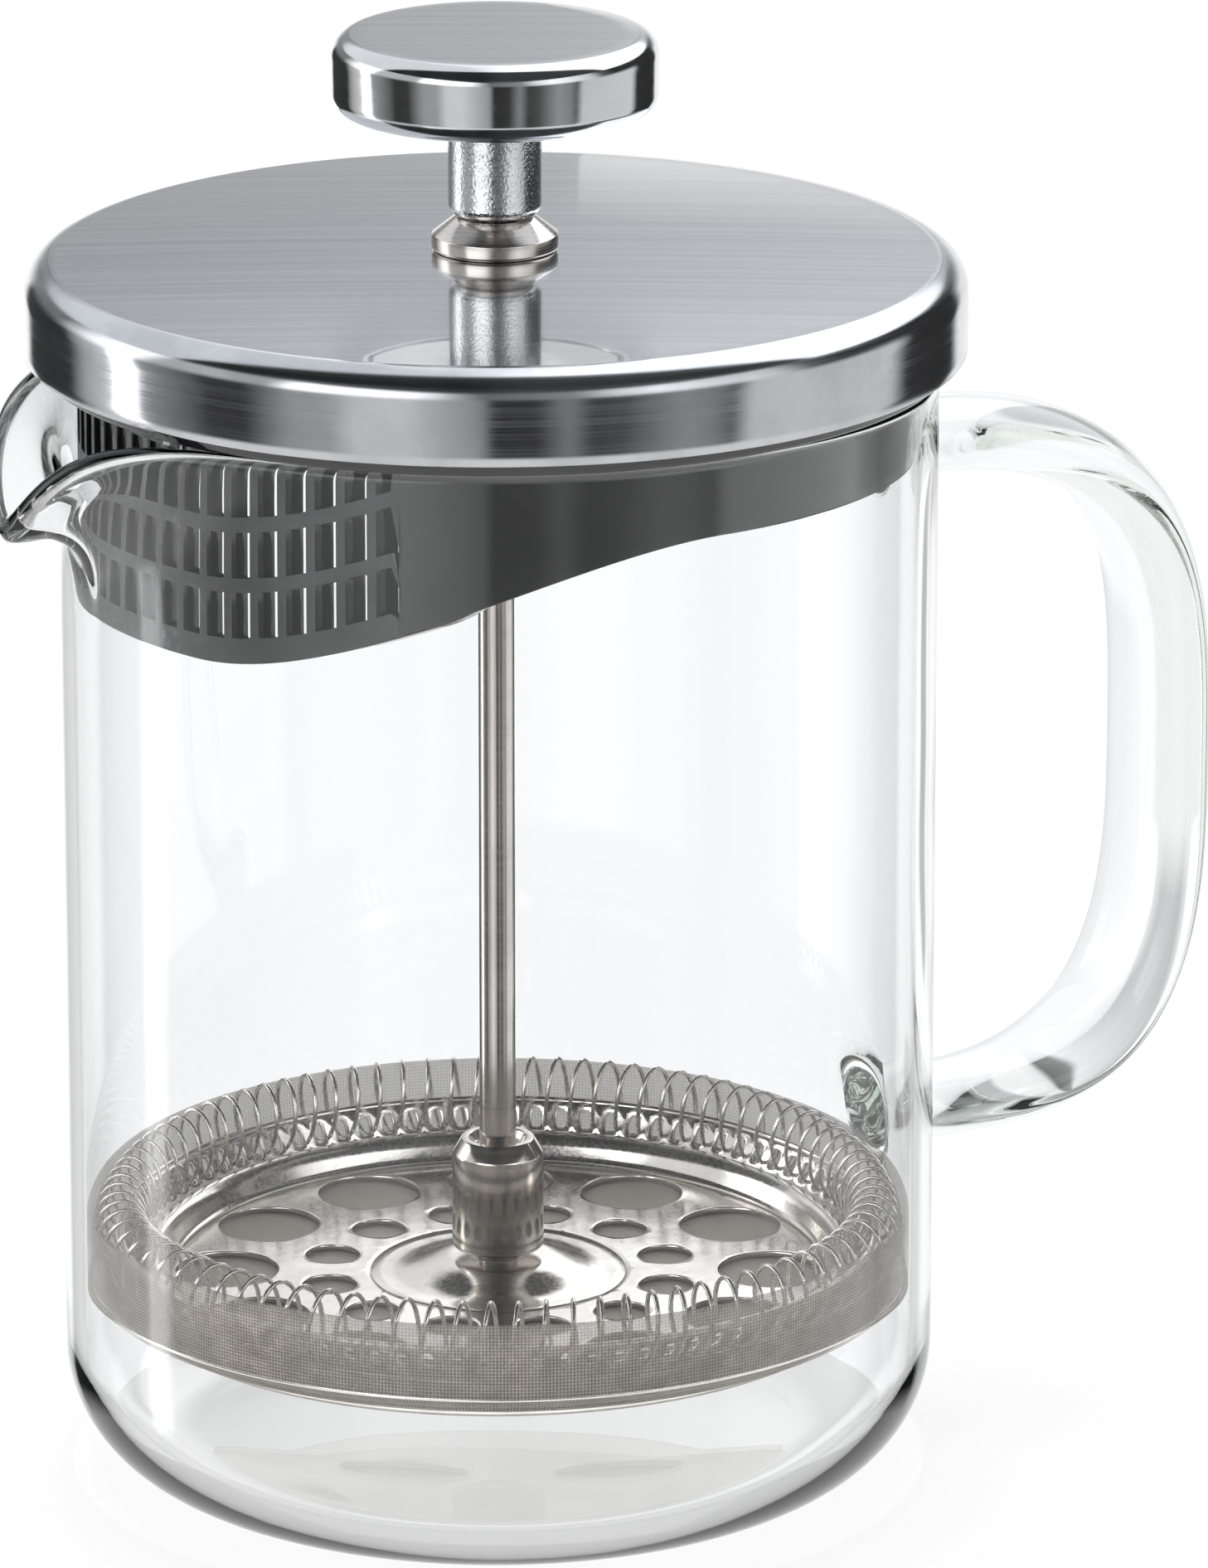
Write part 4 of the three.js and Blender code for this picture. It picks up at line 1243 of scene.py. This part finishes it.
class PRESS_OT_stage(bpy.types.Operator):
    """Build the floor, the light and the camera"""

    bl_idname = "press.stage"
    bl_label = "Floor, light and camera"

    def execute(self, context):
        scene = context.scene
        stage = scene.press_stage
        turn, rise = stage.azimuth, stage.elevation
        back = np.array([math.sin(turn) * math.cos(rise), -math.cos(turn) * math.cos(rise), math.sin(rise)])
        right = np.array([math.cos(turn), math.sin(turn), 0.0])
        target = np.array([0, 0, stage.look_height]) + right * stage.sideways
        lens = bpy.data.cameras.new("camera")
        lens.lens, lens.sensor_width, lens.sensor_fit = stage.lens, 36.0, "AUTO"
        lens.clip_start, lens.clip_end = 0.05, 50.0
        camera = bpy.data.objects.new("camera", lens)
        camera.location = target + back * stage.distance
        up = np.cross(back, right)
        camera.matrix_world = Matrix(
            [[right[i], up[i], back[i], camera.location[i]] for i in range(3)] + [[0, 0, 0, 1]]
        )
        scene.collection.objects.link(camera)
        scene.camera = camera

        def disc(name, radius, height, glow, diffuse):
            angle = np.linspace(0, 2 * np.pi, 128, endpoint=False)
            rim = np.stack([radius * np.cos(angle), radius * np.sin(angle), 0 * angle + height], -1)
            piece = link_blank(name, rim, [list(range(128))])
            piece.data.materials.append(pale_floor(tuple(diffuse * c for c in stage.floor), name, glow))
            piece.visible_shadow = False
            piece.visible_glossy = False
            return piece

        # The floor is seen past the press, and the small, dimmer disc only through the glass of its base, as
        # painted shade under the base.
        floor = disc("floor", radius=0.34, height=-0.0002, glow=0.8, diffuse=0.2)
        floor.visible_transmission = False
        # Painted shade: a dimmer disc under the base, seen only through its glass.
        painted_shade_disc = disc("painted_shade_under_base", radius=0.0468, height=-0.0001, glow=0.66, diffuse=0.18)
        painted_shade_disc.visible_camera = False

        light = bpy.data.lights.new("top_light", "AREA")
        light.shape, light.size, light.size_y, light.energy = "RECTANGLE", 0.9, 0.9, 9.0
        box = bpy.data.objects.new("top_light", light)
        box.location = (0.1, 0.25, 1.1)
        aim = Vector((0, 0, 0.08)) - box.location
        box.rotation_euler = aim.to_track_quat("-Z", "Y").to_euler()
        box.visible_glossy = False
        box.visible_transmission = False
        scene.collection.objects.link(box)
        self.studio(scene, turn)
        scene.view_settings.view_transform = "Standard"
        scene.cycles.max_bounces = 24
        scene.cycles.transmission_bounces = 24
        scene.cycles.glossy_bounces = 10
        return {"FINISHED"}

    def studio(self, scene, turn):
        """The world: white for what is seen directly or through glass, and cards for what is mirrored.

        The cards stand on dark walls, and their places are angles round the press, counted from the
        camera's side. Steel seen through the glass and looks that turn round inside the glass have
        cards of their own.
        """
        world = bpy.data.worlds.new("studio")
        world.use_nodes = True
        scene.world = world
        nodes, links = world.node_tree.nodes, world.node_tree.links

        def feed(socket, value):
            """Sets a socket to a number or colour, or joins it to another socket."""
            if isinstance(value, (int, float, tuple)):
                socket.default_value = value
            else:
                links.new(value, socket)

        def math_node(operation, *values):
            node = nodes.new("ShaderNodeMath")
            node.operation = operation
            for socket, value in zip(node.inputs, values):
                feed(socket, value)
            return node.outputs[0]

        def range_node(value, low, high, to_low=0.0, to_high=1.0):
            node = nodes.new("ShaderNodeMapRange")
            for number, setting in enumerate((value, low, high, to_low, to_high)):
                feed(node.inputs[number], setting)
            return node.outputs["Result"]

        def mix_node(fac, first, second):
            node = nodes.new("ShaderNodeMix")
            node.data_type = "RGBA"
            for number, value in ((0, fac), (6, first), (7, second)):
                feed(node.inputs[number], value)
            return node.outputs[2]

        def ramp_node(angle, cards, full, blue=0.01):
            """The cards' brightness at an angle, on a ramp that spans a half or a full circle."""
            start = 0.0 if full == math.pi else 0.5
            ramp = nodes.new("ShaderNodeValToRGB")
            feed(ramp.inputs["Fac"], math_node("MULTIPLY_ADD", angle, 1 / full, start))
            elements = ramp.color_ramp.elements
            for number, (degrees, value) in enumerate(cards):
                position = math.radians(degrees) / full + start
                element = elements[0] if number == 0 else elements.new(position)
                element.position = position
                element.color = (value * (1 - blue), value, value * (1 + blue), 1)
            elements.remove(elements[len(cards)])
            return ramp.outputs["Color"]

        way = nodes.new("ShaderNodeTexCoord").outputs["Generated"]
        rotate = nodes.new("ShaderNodeVectorRotate")
        rotate.rotation_type = "Z_AXIS"
        rotate.inputs["Angle"].default_value = math.pi / 2 - turn
        links.new(way, rotate.inputs["Vector"])
        apart = nodes.new("ShaderNodeSeparateXYZ")
        links.new(rotate.outputs["Vector"], apart.inputs["Vector"])
        towards, sideways, up = apart.outputs
        around = math_node("ARCTAN2", sideways, towards)
        over = math_node("MAXIMUM", math_node("ARCTAN2", up, math_node("MULTIPLY", towards, -1.0)), 0.0)

        # What kind of look this is: mirrored, through glass, beyond the far glass or turning inside it.
        path = nodes.new("ShaderNodeLightPath")
        is_mirrored = math_node("GREATER_THAN", path.outputs["Glossy Depth"], 0.5)
        is_seen = math_node("SUBTRACT", 1.0, is_mirrored)
        through = math_node("GREATER_THAN", path.outputs["Transmission Depth"], 0.5)
        far = math_node("GREATER_THAN", path.outputs["Transmission Depth"], 3.5)
        beyond = math_node("MULTIPLY", far, math_node("LESS_THAN", path.outputs["Glossy Depth"], 1.5))
        within = math_node("SUBTRACT", through, beyond)

        # Heights where the cards overhead, the raised cards and the floor take over from the walls.
        narrowed = math_node(
            "MULTIPLY_ADD", math_node("ABSOLUTE", sideways), -0.35, math_node("MULTIPLY", up, 1.6)
        )
        overhead = range_node(math_node("MULTIPLY_ADD", towards, -0.2, narrowed), 0.47, 0.55)
        raised = range_node(up, 0.02, 0.18)
        low = range_node(up, -0.38, -0.46)
        low_inside = range_node(up, -0.12, -0.24)

        full_turn = 2 * math.pi
        floor_card = (FLOOR_CARD, FLOOR_CARD, FLOOR_CARD, 1)
        walls = mix_node(
            raised, ramp_node(around, CARDS_AROUND, full_turn), ramp_node(around, CARDS_RAISED, full_turn)
        )
        walls = mix_node(low, walls, floor_card)
        above = mix_node(
            beyond, ramp_node(over, CARDS_ABOVE, math.pi, 0.04), ramp_node(over, CARDS_OVER_FILTER, math.pi)
        )
        inside = mix_node(low_inside, ramp_node(around, CARDS_INSIDE, full_turn), floor_card)
        mirrored = mix_node(within, mix_node(overhead, walls, above), inside)
        seen = mix_node(through, (1, 1, 1, 1), (1.02, 1.035, 1.06, 1))

        # The cards overhead are brighter on the right, and those beyond the glass are brighter throughout.
        slope = range_node(sideways, -0.1, 0.1, 0.62, 1.28)
        strength = math_node("MULTIPLY_ADD", overhead, math_node("SUBTRACT", slope, 1.0), 1.0)
        outside = math_node("SUBTRACT", 1.0, within)
        held = math_node("MULTIPLY_ADD", outside, math_node("SUBTRACT", strength, 1.0), 1.0)
        lit = math_node("MULTIPLY", held, math_node("MULTIPLY_ADD", beyond, 0.35, 1.0))
        ground = nodes["Background"]
        feed(ground.inputs["Color"], mix_node(is_mirrored, seen, mirrored))
        feed(ground.inputs["Strength"], math_node("MULTIPLY_ADD", lit, is_mirrored, is_seen))


# ------------------------------------------------------------------ panel and registration
SETTINGS = {
    "press_glass": GlassSettings,
    "press_lid": LidSettings,
    "press_strainer": StrainerSettings,
    "press_plunger": PlungerSettings,
    "press_filter": FilterSettings,
    "press_stage": StageSettings,
}
STEPS = (
    PRESS_OT_stage,
    PRESS_OT_glass,
    PRESS_OT_lid,
    PRESS_OT_guide,
    PRESS_OT_strainer,
    PRESS_OT_knob,
    PRESS_OT_rod,
    PRESS_OT_spiral_plate,
    PRESS_OT_edge_spring,
    PRESS_OT_mesh_filter,
    PRESS_OT_cross_plate,
)


class PRESS_PT_panel(bpy.types.Panel):
    """Lists the steps that build the french press, and their sizes and colours."""

    bl_idname = "PRESS_PT_panel"
    bl_label = "French Press"
    bl_space_type = "VIEW_3D"
    bl_region_type = "UI"
    bl_category = "French Press"

    def draw(self, context):
        for step in STEPS:
            self.layout.operator(step.bl_idname)
        for name, group in SETTINGS.items():
            box = self.layout.box()
            box.label(text=group.__doc__)
            for prop in group.__annotations__:
                box.prop(getattr(context.scene, name), prop)


def register():
    """Registers the settings, the steps and the panel."""
    for group in SETTINGS.values():
        bpy.utils.register_class(group)
    for name, group in SETTINGS.items():
        setattr(bpy.types.Scene, name, bpy.props.PointerProperty(type=group))
    for step in STEPS:
        bpy.utils.register_class(step)
    bpy.utils.register_class(PRESS_PT_panel)


def unregister():
    """Takes back what register did."""
    bpy.utils.unregister_class(PRESS_PT_panel)
    for step in reversed(STEPS):
        bpy.utils.unregister_class(step)
    for name in SETTINGS:
        delattr(bpy.types.Scene, name)
    for group in reversed(SETTINGS.values()):
        bpy.utils.unregister_class(group)


def main():
    """Registers the classes and builds every piece in order."""
    register()
    for step in STEPS:
        group, name = step.bl_idname.split(".")
        getattr(getattr(bpy.ops, group), name)()


if __name__ == "__main__":
    main()
